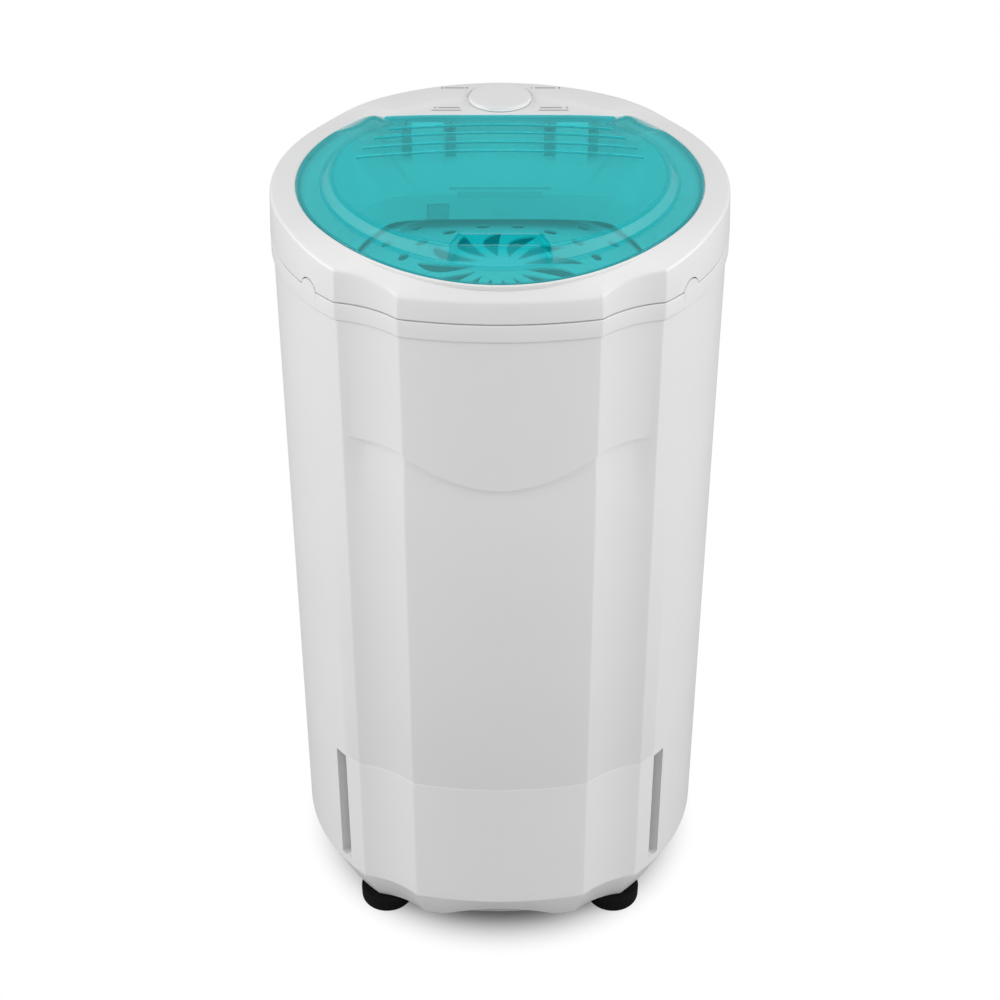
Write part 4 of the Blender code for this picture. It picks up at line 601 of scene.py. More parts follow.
@dataclass
class Outline:
    """Plan outline of cabinet and crown: round sides and back, hollow flutes and a broad front facet."""

    facet_corner_deg: float = 25.6
    side_corner_deg: float = 42.9
    facet_corner: float = 0.9655
    facet_middle: float = 0.9197
    flute_depth: float = 0.024
    corner_reach: float = 0.006
    facet_steps: int = 14
    flute_steps: int = 12
    corner_steps: int = 6
    round_step_deg: float = 2.6

    def facet(self, share: float) -> Vector:
        """Point of the front facet from its middle (0) to its corner (1)."""
        corner = polar(self.facet_corner_deg, self.facet_corner)
        return Vector((corner.x * share, mix(-self.facet_middle, corner.y, share * share)))

    def flute(self, share: float) -> Vector:
        """Point of the hollow flute.

        Args:
            share: Place from its facet corner (0) to its side corner (1).

        Returns:
            The point.
        """
        start = polar(self.facet_corner_deg, self.facet_corner)
        end = polar(self.side_corner_deg, 1.0)
        along = (end - start).normalized()
        hollow = 4 * self.flute_depth * share * (1 - share)
        return start.lerp(end, share) + Vector((-along.y, along.x)) * hollow

    def corner(self, start: Vector, middle: Vector, end: Vector) -> list[Vector]:
        """A corner drawn as a small curve, without its first point."""
        return [bow(start, middle, end, step / self.corner_steps) for step in range(1, self.corner_steps + 1)]

    def half(self, special: Sequence[float]) -> list[Vector]:
        """The outline's right half.

        Args:
            special: Angles of the round part, from the front, that need a point.

        Returns:
            Unit points from the front middle round to the back middle.
        """
        reach = self.corner_reach
        facet_end = 1.0 - reach / self.facet(1.0).x
        flute_start = reach / (self.flute(1.0) - self.flute(0.0)).length
        flute_end = 1.0 - flute_start
        points = [self.facet(facet_end * step / self.facet_steps) for step in range(self.facet_steps + 1)]
        points += self.corner(self.facet(facet_end), self.facet(1.0), self.flute(flute_start))
        for step in range(1, self.flute_steps + 1):
            points.append(self.flute(mix(flute_start, flute_end, step / self.flute_steps)))
        first = self.side_corner_deg + math.degrees(reach)
        points += self.corner(points[-1], polar(self.side_corner_deg, 1.0), polar(first, 1.0))
        count = round((180.0 - first) / self.round_step_deg)
        degrees = [mix(first, 180.0, step / count) for step in range(1, count + 1)]
        places = sorted({*clear_of(degrees, special), 180.0, *special})
        return points + [polar(place, 1.0) for place in places]

    def whole(self, special: Sequence[float]) -> list[Vector]:
        """The closed outline from the front middle over +X, with points at special angles."""
        half = self.half(special)
        return half + [Vector((-point.x, point.y)) for point in reversed(half[1:-1])]


@dataclass
class CabinetShell:
    """White cabinet: drawn-in skirt, side slots, curved relief line, collar and its two locating tabs."""

    axis_y: float
    outline: Outline
    wall: float = 0.0024
    radius: float = 0.1757
    foot_taper: float = 0.0017
    skirt_bottom: float = 0.0160
    skirt_top: float = 0.0500
    skirt_inset: float = 0.0165
    skirt_lip: float = 0.0012
    arch_height: float = 0.0100
    arch_half: float = 0.0543
    seam: float = 0.6248
    seam_lip: float = 0.0030
    collar_stand: float = 0.0017
    collar_bottom: float = 0.6114
    collar_chamfer: float = 0.0019
    slot_from_deg: float = 48.6
    slot_to_deg: float = 52.9
    slot_bottom: float = 0.0580
    slot_top: float = 0.1780
    slot_depth: float = 0.0110
    slot_draft: float = 0.0006
    slot_draft_deg: float = 0.06
    slot_land_deg: float = 0.5
    line_height: float = 0.1797
    line_depth: float = 0.0002
    line_half: float = 0.0009
    line_floor: float = 0.0002
    smile_low: float = 0.4806
    smile_rise: float = 0.0268
    smile_power: float = 1.9
    smile_tail: float = 0.0015
    smile_bend: float = 0.0759
    smile_half: float = 0.1120
    smile_fade: tuple[float, float] = (0.92, 1.04)
    smile_depth: float = 0.0031
    smile_runs: tuple[tuple[float, float], ...] = (
        (-0.0550, 0.0), (-0.0280, 0.35), (-0.0002, 1.0), (0.0003, 0.0),
    )
    tab_radius: float = 0.0092
    tab_drop: float = 0.0012
    fittings: tuple[tuple[float, float], ...] = ((204.0, 0.0103), (156.0, 0.0093))
    fitting_height: float = 0.0665
    fitting_depth: float = 0.02

    def skirt_edge(self, unit: Vector) -> float:
        """Height of the skirt's lower edge, arched in the middle of the front.

        Args:
            unit: Point of the plan outline.

        Returns:
            The height.
        """
        share = abs(unit.x) * self.radius / self.arch_half
        arched = unit.y <= 0 and share <= 1
        return self.skirt_bottom + (self.arch_height * (1 - share * share) if arched else 0.0)

    def smile(self, unit: Vector) -> tuple[float, float]:
        """Course of the relief line across the front.

        Args:
            unit: Point of the plan outline.

        Returns:
            The line's height there, and its strength from 0 to 1.
        """
        x = abs(unit.x * self.radius)
        rise = self.smile_rise * min(x / self.smile_bend, 1.0) ** self.smile_power
        start, end = (self.smile_half * share for share in self.smile_fade)
        strength = 0.0 if unit.y > 0 else 1.0 - ease(x, start, end)
        return self.smile_low + rise + self.smile_tail * x / self.smile_half, strength

    def column(self, unit: Vector) -> Column:
        """Shape of the cabinet's outside at one place.

        Args:
            unit: Point of the plan outline.

        Returns:
            Corners from the skirt up, with the reach of their curves.
        """
        degrees = from_front(unit)
        foot, collar = self.radius - self.foot_taper, self.radius + self.collar_stand
        foot_in = foot - self.skirt_inset

        def at(height: float, inset: float = 0.0, radius: Optional[float] = None) -> Vector:
            """Finds a point of the outside.

            Args:
                height: Its height.
                inset: How far it lies inside.
                radius: The wall's radius there, or nothing for the slightly tapered wall.

            Returns:
                The point.
            """
            share = (height - self.skirt_top) / (self.collar_bottom - self.skirt_top)
            reach = (mix(foot, self.radius, share) if radius is None else radius) - inset
            return at_height(unit * reach, height)

        slot = self.slot_depth if self.slot_from_deg <= degrees <= self.slot_to_deg else 0.0
        beside_slot = ease(degrees, self.slot_from_deg - self.slot_land_deg, self.slot_from_deg)
        line = self.line_depth * (1.0 - beside_slot)
        smile, strength = self.smile(unit)
        edge = self.skirt_edge(unit)
        return [
            (at(edge, self.skirt_lip, foot_in), 0.0),
            (at(edge, 0.0, foot_in), 0.0006),
            (at(self.skirt_top, 0.0, foot), 0.0009),
            (at(self.slot_bottom), 0.0),
            (at(self.slot_bottom + self.slot_draft, slot), 0.0),
            (at(self.slot_top - self.slot_draft, slot), 0.0),
            (at(self.slot_top), 0.0),
            (at(self.line_height - self.line_half), 0.0),
            (at(self.line_height - self.line_floor, line), 0.0),
            (at(self.line_height + self.line_floor, line), 0.0),
            (at(self.line_height + self.line_half), 0.0),
            *((at(smile + up, self.smile_depth * strength * share), 0.0) for up, share in self.smile_runs),
            (at(self.collar_bottom - self.collar_chamfer), 0.0),
            (at(self.collar_bottom, 0.0, collar), 0.0006),
            (at(self.seam, 0.0, collar), 0.0008),
            (at(self.seam, self.seam_lip, collar), 0.0),
        ]

    def shell(self) -> bmesh.types.BMesh:
        """The outside's surface, with the slots' insides marked for a darker grey of painted shade.

        Returns:
            The surface.
        """
        a, b = self.slot_from_deg, self.slot_to_deg
        draft, land = self.slot_draft_deg, self.slot_land_deg
        units = self.outline.whole([a - land, a - draft, a, b, b + draft, b + land])
        bm = grid_mesh([rounded(self.column(unit)) for unit in units])
        # faces inside the slots get the darker grey, painted shade
        reach = self.radius - self.foot_taper - self.slot_depth * 0.3
        for face in bm.faces:
            spot = face.calc_center_median()
            beside = a - 0.1 <= from_front(spot) <= b + 0.1
            if beside and spot.xy.length < reach and self.slot_bottom < spot.z < self.slot_top:
                face.material_index = 1
        return bm

    def build(self) -> None:
        """Makes the shell and its tabs and hands them over."""
        tabs, holes = bmesh.new(), bmesh.new()
        spot = (self.radius + self.collar_stand - self.wall / 2, self.seam - self.tab_drop)
        for side in (-1, 1):
            add_stud(tabs, side * TAB_DEG, spot, self.tab_radius, self.wall - 0.0002)
        for degrees, radius in self.fittings:
            add_stud(holes, degrees, (self.radius, self.fitting_height), radius, self.fitting_depth, 40)
        shell = Piece(
            "cabinet_shell", self.shell(), self.axis_y, (WHITE, PAINTED_SLOT_SHADE), wall=self.wall,
            cutters=(("fitting_holes", holes),),
        ).build()
        place(shell, Body.CABINET, Slot.WHITE, "body_shell")
        place(Piece("collar_tabs", tabs, self.axis_y, (WHITE,)).build(), Body.CABINET, Slot.WHITE)


@dataclass
class Crown:
    """White crown: dipped front, raised rear rim, timer panel, lid seat, hinge well and D-shaped mouth."""

    axis_y: float
    outline: Outline
    wall: float = 0.0024
    radius: float = 0.1757
    collar_radius: float = 0.1774
    top_radius: float = 0.1760
    bottom: float = 0.6258
    bottom_lip: float = 0.0030
    notch_radius: float = 0.0098
    notch_height: float = 0.6240
    notch_depth: float = 0.0120
    rim: float = 0.6594
    dip_from: float = 0.4440
    dip_steps: tuple[tuple[float, float], ...] = (
        (0.0, 0.0), (0.2925, 0.0444), (0.4320, 0.0945), (0.5692, 0.0945),
    )
    back_rise: float = 0.0041
    back_rise_span: tuple[float, float] = (0.5692, 0.8253)
    lid_plane: float = 0.6620
    lip_dip: float = 0.0376
    lip_dip_from: float = 0.4553
    lip_dip_reach: float = 0.4280
    opening: float = 0.1564
    chord: float = 0.1138
    chord_sag: float = 0.0032
    notch_deg: float = 40.4
    corner_deg: float = 4.6
    corner_gap_deg: float = 0.45
    corner_fullness: float = 0.72
    well_span_deg: tuple[float, float] = (47.0, 54.0)
    panel_span_deg: tuple[float, float] = (36.0, 41.5)
    lip_span_deg: tuple[float, float] = (46.0, 62.0)
    ledge_depth: float = 0.0037
    ledge_width: float = 0.0059
    well_depth: float = 0.0150
    rim_inner: float = 0.1515
    rim_foot: float = 0.1475
    rim_blend_deg: float = 36.0
    rim_slope: float = 0.0080
    rim_share: float = 0.20
    foot_share: float = 0.40
    deck: float = 0.6623
    knob_y: float = 0.1440
    pocket_radius: float = 0.0276
    pocket_edge: float = 0.0012
    pocket_blend: tuple[float, float] = (0.0040, 0.0030)
    slope_inset: float = 0.0120
    slope_inset_well: float = 0.0150
    slope_drop: float = 0.0220
    slope_top: float = 0.6300
    slope_low_drop: float = 0.0440
    slope_low_share: float = 0.30
    mouth: float = 0.1215
    mouth_chord: float = 0.0780
    mouth_power: int = 9
    mouth_top: float = 0.6090
    mouth_bottom: float = 0.5865
    mouth_lip: float = 0.0044
    mouth_rear_lip: float = 0.0020
    mouth_reach: float = 0.0040
    hinge_y: float = 0.1004
    hinge_z: float = 0.6580
    boss_ends: tuple[float, float] = (0.0455, 0.0710)
    boss_radius: float = 0.0036
    boss_foot: tuple[tuple[float, float], ...] = (
        (-0.0036, 0.6266), (0.0010, 0.6318), (-0.0014, 0.6443), (-0.0014, 0.6545), (0.0030, 0.6561),
    )
    boss_steps: int = 16
    slot_half: float = 0.0415
    slot_low: float = 0.6115
    slot_high: float = 0.6133
    slot_back: float = 0.0826
    panel_half: float = 0.0345
    panel_low: float = 0.6042
    panel_depth: float = 0.0013
    panel_gap: float = 0.0004
    recess_front: float = 0.0700
    square: tuple[Point, Point] = ((-0.0596, 0.0700, 0.5862), (-0.0416, 0.0787, 0.6008))
    plate: tuple[Point, Point] = ((-0.0590, 0.0776, 0.5868), (-0.0422, 0.0789, 0.6002))

    def edge_height(self, y: float) -> float:
        """Height of the outer top edge, which dips in front and rises behind.

        Args:
            y: Place of the edge in front of (-) or behind (+) the axis.

        Returns:
            The height.
        """
        along = max(-y / self.radius - self.dip_from, 0.0)
        drop = self.dip_steps[-1][1]
        for (start, low), (end, high) in zip(self.dip_steps, self.dip_steps[1:]):
            if along < end:
                drop = mix(low, high, (along - start) / (end - start))
                break
        return self.rim - drop * self.radius + self.back_rise * ease(y / self.radius, *self.back_rise_span)

    def lip_height(self, y: float) -> float:
        """Height of the lid opening's edge, which dips in front."""
        share = max(-y / self.radius - self.lip_dip_from, 0.0) / self.lip_dip_reach
        return self.lid_plane - self.lip_dip * self.radius * share * share

    def opening_radius(
        self, degrees: float, inset: float = 0.0, chord_inset: float = 0.0, shift: float = 0.0
    ) -> float:
        """Distance from the axis to the edge of the lid opening, or of the lid in it.

        Args:
            degrees: Angle from the back.
            inset: How much smaller the round part is.
            chord_inset: How much smaller the chord is.
            shift: How many degrees later the corner comes.

        Returns:
            The distance.
        """
        angle = math.radians(min(degrees, self.notch_deg))
        share = math.tan(angle) / math.tan(math.radians(self.notch_deg))
        straight = (self.chord - chord_inset - self.chord_sag * share**4) / math.cos(angle)
        past = min((degrees - self.notch_deg - shift - self.corner_gap_deg) / self.corner_deg, 1.0)
        if past < 0:
            return straight
        return mix(straight, self.opening - inset, math.sqrt(1.0 - self.corner_fullness * (1.0 - past) ** 2))

    def mouth_radius(self, degrees: float) -> float:
        """Distance from the axis to the D-shaped mouth.

        Args:
            degrees: Angle from the back.

        Returns:
            The distance.
        """
        cosine, power = math.cos(math.radians(degrees)), self.mouth_power
        if cosine <= 0:
            return self.mouth
        return ((self.mouth_chord / cosine) ** -power + self.mouth**-power) ** (-1 / power)

    def rim_end(self, degrees: float) -> tuple[float, float]:
        """Inner end of the raised rear rim, which gives way round the knob.

        Args:
            degrees: Angle from the back.

        Returns:
            Distance from the axis to the rim's end, and the length of its slope.
        """
        line = mix(self.rim_inner, self.rim_foot, min(degrees / self.rim_blend_deg, 1.0))
        angle = math.radians(min(degrees, 90.0))
        reach = self.pocket_radius**2 - (self.knob_y * math.sin(angle)) ** 2
        far = self.knob_y * math.cos(angle) + math.sqrt(max(reach, 0.0))
        before, after = self.pocket_blend
        if reach > 0 and far > line - before:
            blend = ease(far, line - before, line + after)
            return max(line, far + self.pocket_edge), mix(self.rim_slope, self.pocket_edge, blend)
        return line, self.rim_slope

    def column(self, unit: Vector) -> Column:
        """Shape of the crown at one place.

        Args:
            unit: Point of the plan outline.

        Returns:
            Corners from the seam over the top to the mouth, with the reach of their curves.
        """
        degrees = from_back(unit)
        out = unit.normalized()
        well = 1.0 - ease(degrees, *self.well_span_deg)
        panel = 1.0 - ease(degrees, *self.panel_span_deg)
        outer, low = unit * self.top_radius, unit * self.collar_radius
        opening = out * self.opening_radius(degrees)
        edge, lip = self.edge_height(outer.y), self.lip_height(opening.y)
        span = outer.length - opening.length
        rim, slope = self.rim_end(degrees)
        rim_share = mix(self.rim_share, (outer.length - rim) / span, panel)
        foot_share = mix(self.foot_share, (outer.length - rim + slope) / span, panel)
        rim_height = mix(mix(edge, lip, rim_share), edge, panel)
        foot_height = mix(mix(edge, lip, foot_share), self.deck, panel)
        soft = 0.0002 + 0.0016 * panel * min(slope / self.rim_slope, 1.0)
        ledge = lip - mix(self.ledge_depth, self.well_depth, well)
        inner = out * (opening.length - self.ledge_width)
        mouth = out * self.mouth_radius(degrees)
        upper = out * mix(inner.length - self.slope_inset, opening.length - self.slope_inset_well, well)
        upper_height = mix(lip - self.slope_drop, self.slope_top, well)
        lower = out * mix(mouth.length, upper.length, self.slope_low_share)
        lower_in_well = self.mouth_top + (upper_height - self.mouth_top) / 3
        lower_height = mix(lip - self.slope_low_drop, lower_in_well, well)
        mouth_in = mix(self.mouth_rear_lip, -self.mouth_lip, ease(degrees, *self.lip_span_deg))
        return [
            (at_height(low - out * self.bottom_lip, self.bottom), 0.0),
            (at_height(low, self.bottom), 0.0009),
            (at_height(outer, edge), 0.0025),
            (at_height(outer.lerp(opening, rim_share), rim_height), soft),
            (at_height(outer.lerp(opening, foot_share), foot_height), soft),
            (at_height(opening, mix(lip, self.deck, panel)), 0.0013),
            (at_height(opening, ledge), 0.0006),
            (at_height(inner, ledge - mix(0.0, self.ledge_depth, well)), 0.0016),
            (at_height(upper, upper_height), 0.0060),
            (at_height(lower, lower_height), 0.0050),
            (at_height(mouth, self.mouth_top), 0.0008),
            (at_height(mouth, self.mouth_bottom), 0.0008),
            (at_height(mouth + out * mouth_in, self.mouth_bottom - 0.0010), 0.0),
        ]

    def shell(self) -> bmesh.types.BMesh:
        """The crown's surface, with the mouth's wall marked for a brighter copy of the white, painted fill
        light.

        Returns:
            The surface.
        """
        special = [180.0 - self.notch_deg - step for step in NOTCH_STEPS]
        special += [180.0 - step * 0.75 for step in range(17, 0, -1)]
        bm = grid_mesh([rounded(self.column(unit)) for unit in self.outline.whole(special)])
        # faces of the mouth's wall get the brighter white, painted fill light
        for face in bm.faces:
            spot = face.calc_center_median()
            if spot.z < self.mouth_top and spot.xy.length < self.mouth + self.mouth_reach:
                face.material_index = 1
        return bm

    def bosses(self) -> bmesh.types.BMesh:
        """The two hinge bosses that rise from the well.

        Returns:
            Both as one mesh.
        """
        line = []
        for step in range(self.boss_steps + 1):
            angle = math.pi * step / self.boss_steps
            y, z = self.boss_radius * math.cos(angle), self.boss_radius * math.sin(angle)
            line.append((self.hinge_y + y, self.hinge_z + z))
        line += [(self.hinge_y + y, z) for y, z in self.boss_foot]
        bm = bmesh.new()
        for side in (-1, 1):
            add_prism(bm, *([(x * side, y, z) for y, z in line] for x in self.boss_ends))
        bmesh.ops.recalc_face_normals(bm, faces=bm.faces)
        return bm

    def recesses(self) -> bmesh.types.BMesh:
        """Cutters for the long slot, the shallow panel under it and the square recess beside them.

        Returns:
            All three as one mesh.
        """
        bm, front = bmesh.new(), self.recess_front
        slot_end = (self.slot_half, self.slot_back, self.slot_high)
        add_block(bm, (-self.slot_half, front, self.slot_low), slot_end)
        panel_end = (self.panel_half, self.mouth_chord + self.panel_depth, self.slot_low - self.panel_gap)
        add_block(bm, (-self.panel_half, front, self.panel_low), panel_end)
        add_block(bm, *self.square)
        return bm

    def build(self) -> None:
        """Makes the crown, its bosses and the grey plate of painted shade in its square recess and hands them
        over.
        """
        notches, plate = bmesh.new(), bmesh.new()
        for side in (-1, 1):
            spot = (self.collar_radius, self.notch_height)
            add_stud(notches, side * TAB_DEG, spot, self.notch_radius, self.notch_depth)
        add_block(plate, *self.plate)
        crown = Piece(
            "crown_top", self.shell(), self.axis_y, (WHITE, MOUTH_FILL_LIGHT), wall=self.wall,
            cutters=(("tab_notches", notches), ("mouth_recesses", self.recesses())),
        ).build()
        place(crown, Body.CABINET, Slot.WHITE, "crown")
        # the bosses take the disc's white, brightened as painted fill light; the recess plate is grey painted
        # shade
        for name, bm, finish in (("hinge_bosses", self.bosses(), DISC_WHITE_FILL_LIT), ("recess_shade_plate", plate, PAINTED_RECESS_SHADE)):
            place(Piece(name, bm, self.axis_y, (finish,)).build(), Body.CABINET, Slot.WHITE)


@dataclass
class Lid:
    """Clear teal lid: flat flange, low dome that falls to the hinge, finger pocket, ribs and hinge arms."""

    axis_y: float
    crown: Crown
    thickness: float = 0.0024
    smooth_deg: float = 28.0
    clearance: float = 0.0010
    chord_clearance: float = 0.0018
    notch_shift: float = 0.5
    relief: float = 0.0056
    relief_span_deg: tuple[float, float] = (1.5, 8.0)
    foot_inset: float = 0.0190
    top_inset: float = 0.0270
    rear_inset: float = 0.0012
    rear_drop: float = 0.0015
    edge_low: tuple[float, float] = (0.0014, 0.0037)
    edge_high: tuple[float, float] = (0.0002, 0.0024)
    dome: float = 0.6701
    dome_rear: float = 0.6640
    dome_crown: float = 0.0012
    dome_fall_from: float = 0.0350
    dome_rings: tuple[tuple[float, float], ...] = (
        (0.94, 0.975), (0.84, 0.95), (0.7, 0.9), (0.55, 1.0), (0.38, 1.0), (0.2, 1.0), (0.07, 1.0),
    )
    grip_half_deg: float = 16.2
    grip_draft_deg: float = 0.9
    grip_back: float = 0.1063
    grip_draft: float = 0.0010
    grip_drop: float = 0.0022
    arm_spans: tuple[tuple[float, float], ...] = ((0.0356, 0.0438), (0.0716, 0.0794))
    arm_plate: tuple[tuple[float, float], ...] = (
        (-0.0044, -0.0025), (-0.0044, -0.0230), (-0.0032, -0.0245), (-0.0014, -0.0240), (0.0030, -0.0060),
        (0.0030, -0.0025),
    )
    stem_half: float = 0.0009
    stem_span: tuple[float, float] = (-0.0030, 0.0024)
    stem_foot: float = -0.0030
    step_deg: float = 2.5
    rear_bands: Bands = ((19, LidFace.FLOOR),)
    round_bands: Bands = (
        (4, LidFace.EDGE), (6, LidFace.FLANGE), (9, LidFace.BEND), (15, LidFace.PAINTED_REFLECTION), (19, LidFace.BEND),
    )
    grip_bands: Bands = (
        (4, LidFace.EDGE), (6, LidFace.FLANGE), (9, LidFace.BEND), (10, LidFace.FLOOR), (14, LidFace.BEND),
        (15, LidFace.CLEAR), (19, LidFace.BEND),
    )

    def edge(self, degrees: float) -> float:
        """Distance from the axis to the lid's edge, which is drawn in beside the hinge axis.

        Args:
            degrees: Angle from the back.

        Returns:
            The distance.
        """
        beside = math.degrees(math.acos(self.crown.hinge_y / self.crown.opening))
        inset = self.clearance + self.relief * (1.0 - ease(abs(degrees - beside), *self.relief_span_deg))
        return self.crown.opening_radius(degrees, inset, self.chord_clearance, self.notch_shift)

    def dome_height(self, y: float, share: float) -> float:
        """Height of the dome's top, which falls towards the hinge and is slightly crowned.

        Args:
            y: Place in front of (-) or behind (+) the axis.
            share: Share of the crowning there.

        Returns:
            The height.
        """
        rear_end = self.crown.chord - self.chord_clearance
        fall = (self.dome - self.dome_rear) * ease(y, self.dome_fall_from, rear_end)
        return self.dome - fall + self.dome_crown * share

    def column(self, degrees_front: float) -> Column:
        """Shape of the lid's upper face at one place.

        Args:
            degrees_front: Angle from the front over +X.

        Returns:
            Corners from the edge to the middle, with the reach of their curves.
        """
        point = polar(degrees_front, 1.0)
        degrees = from_back(point)
        rear = 1.0 if degrees < self.crown.notch_deg + self.notch_shift + self.crown.corner_gap_deg else 0.0
        outer = point * self.edge(degrees)
        plane = self.crown.lid_plane
        lip = self.crown.lip_height(outer.y)
        foot = point * mix(self.crown.opening - self.foot_inset, outer.length, rear)
        top = point * mix(self.crown.opening - self.top_inset, outer.length - self.rear_inset, rear)
        foot_height = mix(self.crown.lip_height(foot.y), plane - self.rear_drop, rear)
        reach = top.length
        shoulder, shoulder_height = foot.lerp(top, 0.5), mix(foot_height, self.dome_height(top.y, 0.0), 0.5)
        if degrees > 180.0 - self.grip_half_deg + self.grip_draft_deg / 2:
            top = point * (self.grip_back / -point.y)
            shoulder, shoulder_height = top + point * self.grip_draft, plane - self.grip_drop

        def on_dome(spot: Vector) -> Vector:
            """A plan point lifted to the dome's top."""
            return at_height(spot, self.dome_height(spot.y, max(1.0 - (spot.length / reach) ** 2, 0.0)))

        controls = [
            (at_height(outer, mix(lip - self.edge_low[0], plane - self.edge_low[1], rear)), 0.0),
            (at_height(outer, mix(lip - self.edge_high[0], plane - self.edge_high[1], rear)), 0.0007),
            (at_height(foot, foot_height), 0.0018),
            (at_height(shoulder, shoulder_height), 0.0010),
            (on_dome(top), 0.0022),
        ]
        for share, limit in self.dome_rings:
            controls.append((on_dome(point * min(reach * share, top.length * limit)), 0.0))
        return controls

    def angles(self) -> list[float]:
        """Angles of the columns from the front.

        Returns:
            Even steps, with closer ones at the pocket's sides and the rear corners.
        """
        shift = self.crown.notch_deg + self.notch_shift
        special = [self.grip_half_deg - self.grip_draft_deg, self.grip_half_deg]
        special += [180.0 - shift - step for step in NOTCH_STEPS]
        special += [360.0 - value for value in special]
        plain = [self.step_deg * index for index in range(round(360 / self.step_deg))]
        return sorted(clear_of(plain, special) + special)

    def mark_faces(self, bm: bmesh.types.BMesh, rows: int) -> None:
        """Gives the lid's rim and the curved edges of dome and pocket their own copies of the teal: darker
        teal of painted shade along the edge and the bends, and a hazed teal that paints the reflection of the
        white surround on the dome's sloping side.

        Args:
            bm: The lid's upper face, made column by column.
            rows: Faces of one column.
        """
        angles = self.angles()
        for index, face in enumerate(list(bm.faces)[: rows * len(angles)]):
            row, degrees = index % rows, angles[index // rows]
            bands = self.round_bands
            if abs(180.0 - degrees) < self.crown.notch_deg + self.notch_shift:
                bands = self.rear_bands
            elif min(degrees, 360.0 - degrees) < self.grip_half_deg - self.grip_draft_deg / 2:
                bands = self.grip_bands
            marked = [band for last, band in bands if row <= last]
            face.material_index = (marked or [LidFace.TOP])[0].value

    def arms(self) -> bmesh.types.BMesh:
        """The four hinge arms that stand on both sides of the crown's bosses.

        Returns:
            All four as one mesh.
        """
        y0, z0 = self.crown.hinge_y, self.crown.hinge_z
        top = self.dome_height(y0, 0.0) - self.thickness * 0.7 - z0
        front, back = self.stem_span
        stem = ((front, self.stem_foot), (back, self.stem_foot), (back, top), (front, top))
        bm = bmesh.new()
        for side in (-1, 1):
            for low, high in self.arm_spans:
                middle = (low + high) / 2 * side
                ends = (middle - self.stem_half, middle + self.stem_half)
                for line, span in ((self.arm_plate, (low * side, high * side)), (stem, ends)):
                    add_prism(bm, *([(x, y0 + y, z0 + z) for y, z in line] for x in span))
        bmesh.ops.recalc_face_normals(bm, faces=bm.faces)
        return bm

    def build(self) -> None:
        """Makes the lid with its arms and ribs and hands them over."""
        columns = [rounded(self.column(degrees)) for degrees in self.angles()]
        bm = grid_mesh(columns, pole=True)
        self.mark_faces(bm, len(columns[0]) - 1)
        lid = Piece("clear_lid", bm, self.axis_y, LID_FINISHES, self.smooth_deg, self.thickness).build()
        # the arms' greyer teal is painted shade of the gaps beside the bosses
        arms = Piece("lid_arms", self.arms(), self.axis_y, (TEAL_ARM_SHADE,)).build()
        ribs = LidRibs(self).build()
        place(lid, Body.LID, Slot.TEAL, "lid")
        for piece in (arms, *ribs):
            place(piece, Body.LID, Slot.TEAL)


class ShapeTree(NodeTree):
    """A Geometry Nodes tree under construction, with named inputs."""

    def __init__(self, name: str) -> None:
        """Starts the tree with a geometry input and output.

        Args:
            name: The tree's name.
        """
        super().__init__(bpy.data.node_groups.new(name, "GeometryNodeTree"))
        for way in ("INPUT", "OUTPUT"):
            self.tree.interface.new_socket("Geometry", in_out=way, socket_type="NodeSocketGeometry")
        self.start = self.add("NodeGroupInput")

    def size(self, name: str) -> bpy.types.NodeSocket:
        """Adds a named size and returns the socket that carries it."""
        self.tree.interface.new_socket(name, in_out="INPUT", socket_type="NodeSocketFloat")
        return self.start.outputs[name]

    def curve(self) -> bpy.types.NodeSocket:
        """The paths that the tree starts from, as curves."""
        paths = {"Mesh": self.start.outputs["Geometry"]}
        return self.add("GeometryNodeMeshToCurve", paths).outputs["Curve"]

    def finish(self, geometry: bpy.types.NodeSocket, material: bpy.types.Material) -> None:
        """Ends the tree in real meshes with one material.

        Args:
            geometry: What the tree has made.
            material: Its material.
        """
        real = self.add("GeometryNodeRealizeInstances", {"Geometry": geometry}).outputs["Geometry"]
        coat = self.add("GeometryNodeSetMaterial", {"Geometry": real, "Material": material})
        self.add("NodeGroupOutput", {"Geometry": coat.outputs["Geometry"]})

    def apply(self, made: bpy.types.Object, sizes: dict[str, float]) -> None:
        """Makes the tree's result the plain mesh of an object.

        Args:
            made: The object, with the paths that the tree starts from.
            sizes: Values of the tree's named inputs.
        """
        step = made.modifiers.new("shape", "NODES")
        step.node_group = self.tree
        for item in self.tree.interface.items_tree:
            if item.in_out == "INPUT" and item.name in sizes:
                step[item.identifier] = sizes[item.name]
        bake(made)


def path_object(name: str, paths: Sequence[Sequence[Vector]], axis_y: float) -> bpy.types.Object:
    """Makes an object of open edge paths for a node tree to follow.

    Args:
        name: The object's name.
        paths: Points of each path, round the spin axis.
        axis_y: Y of the spin axis.

    Returns:
        The object.
    """
    bm = bmesh.new()
    for path in paths:
        verts = [bm.verts.new(point + Vector((0.0, axis_y, 0.0))) for point in path]
        for first, second in zip(verts, verts[1:]):
            bm.edges.new((first, second))
    return mesh_object(name, bm)


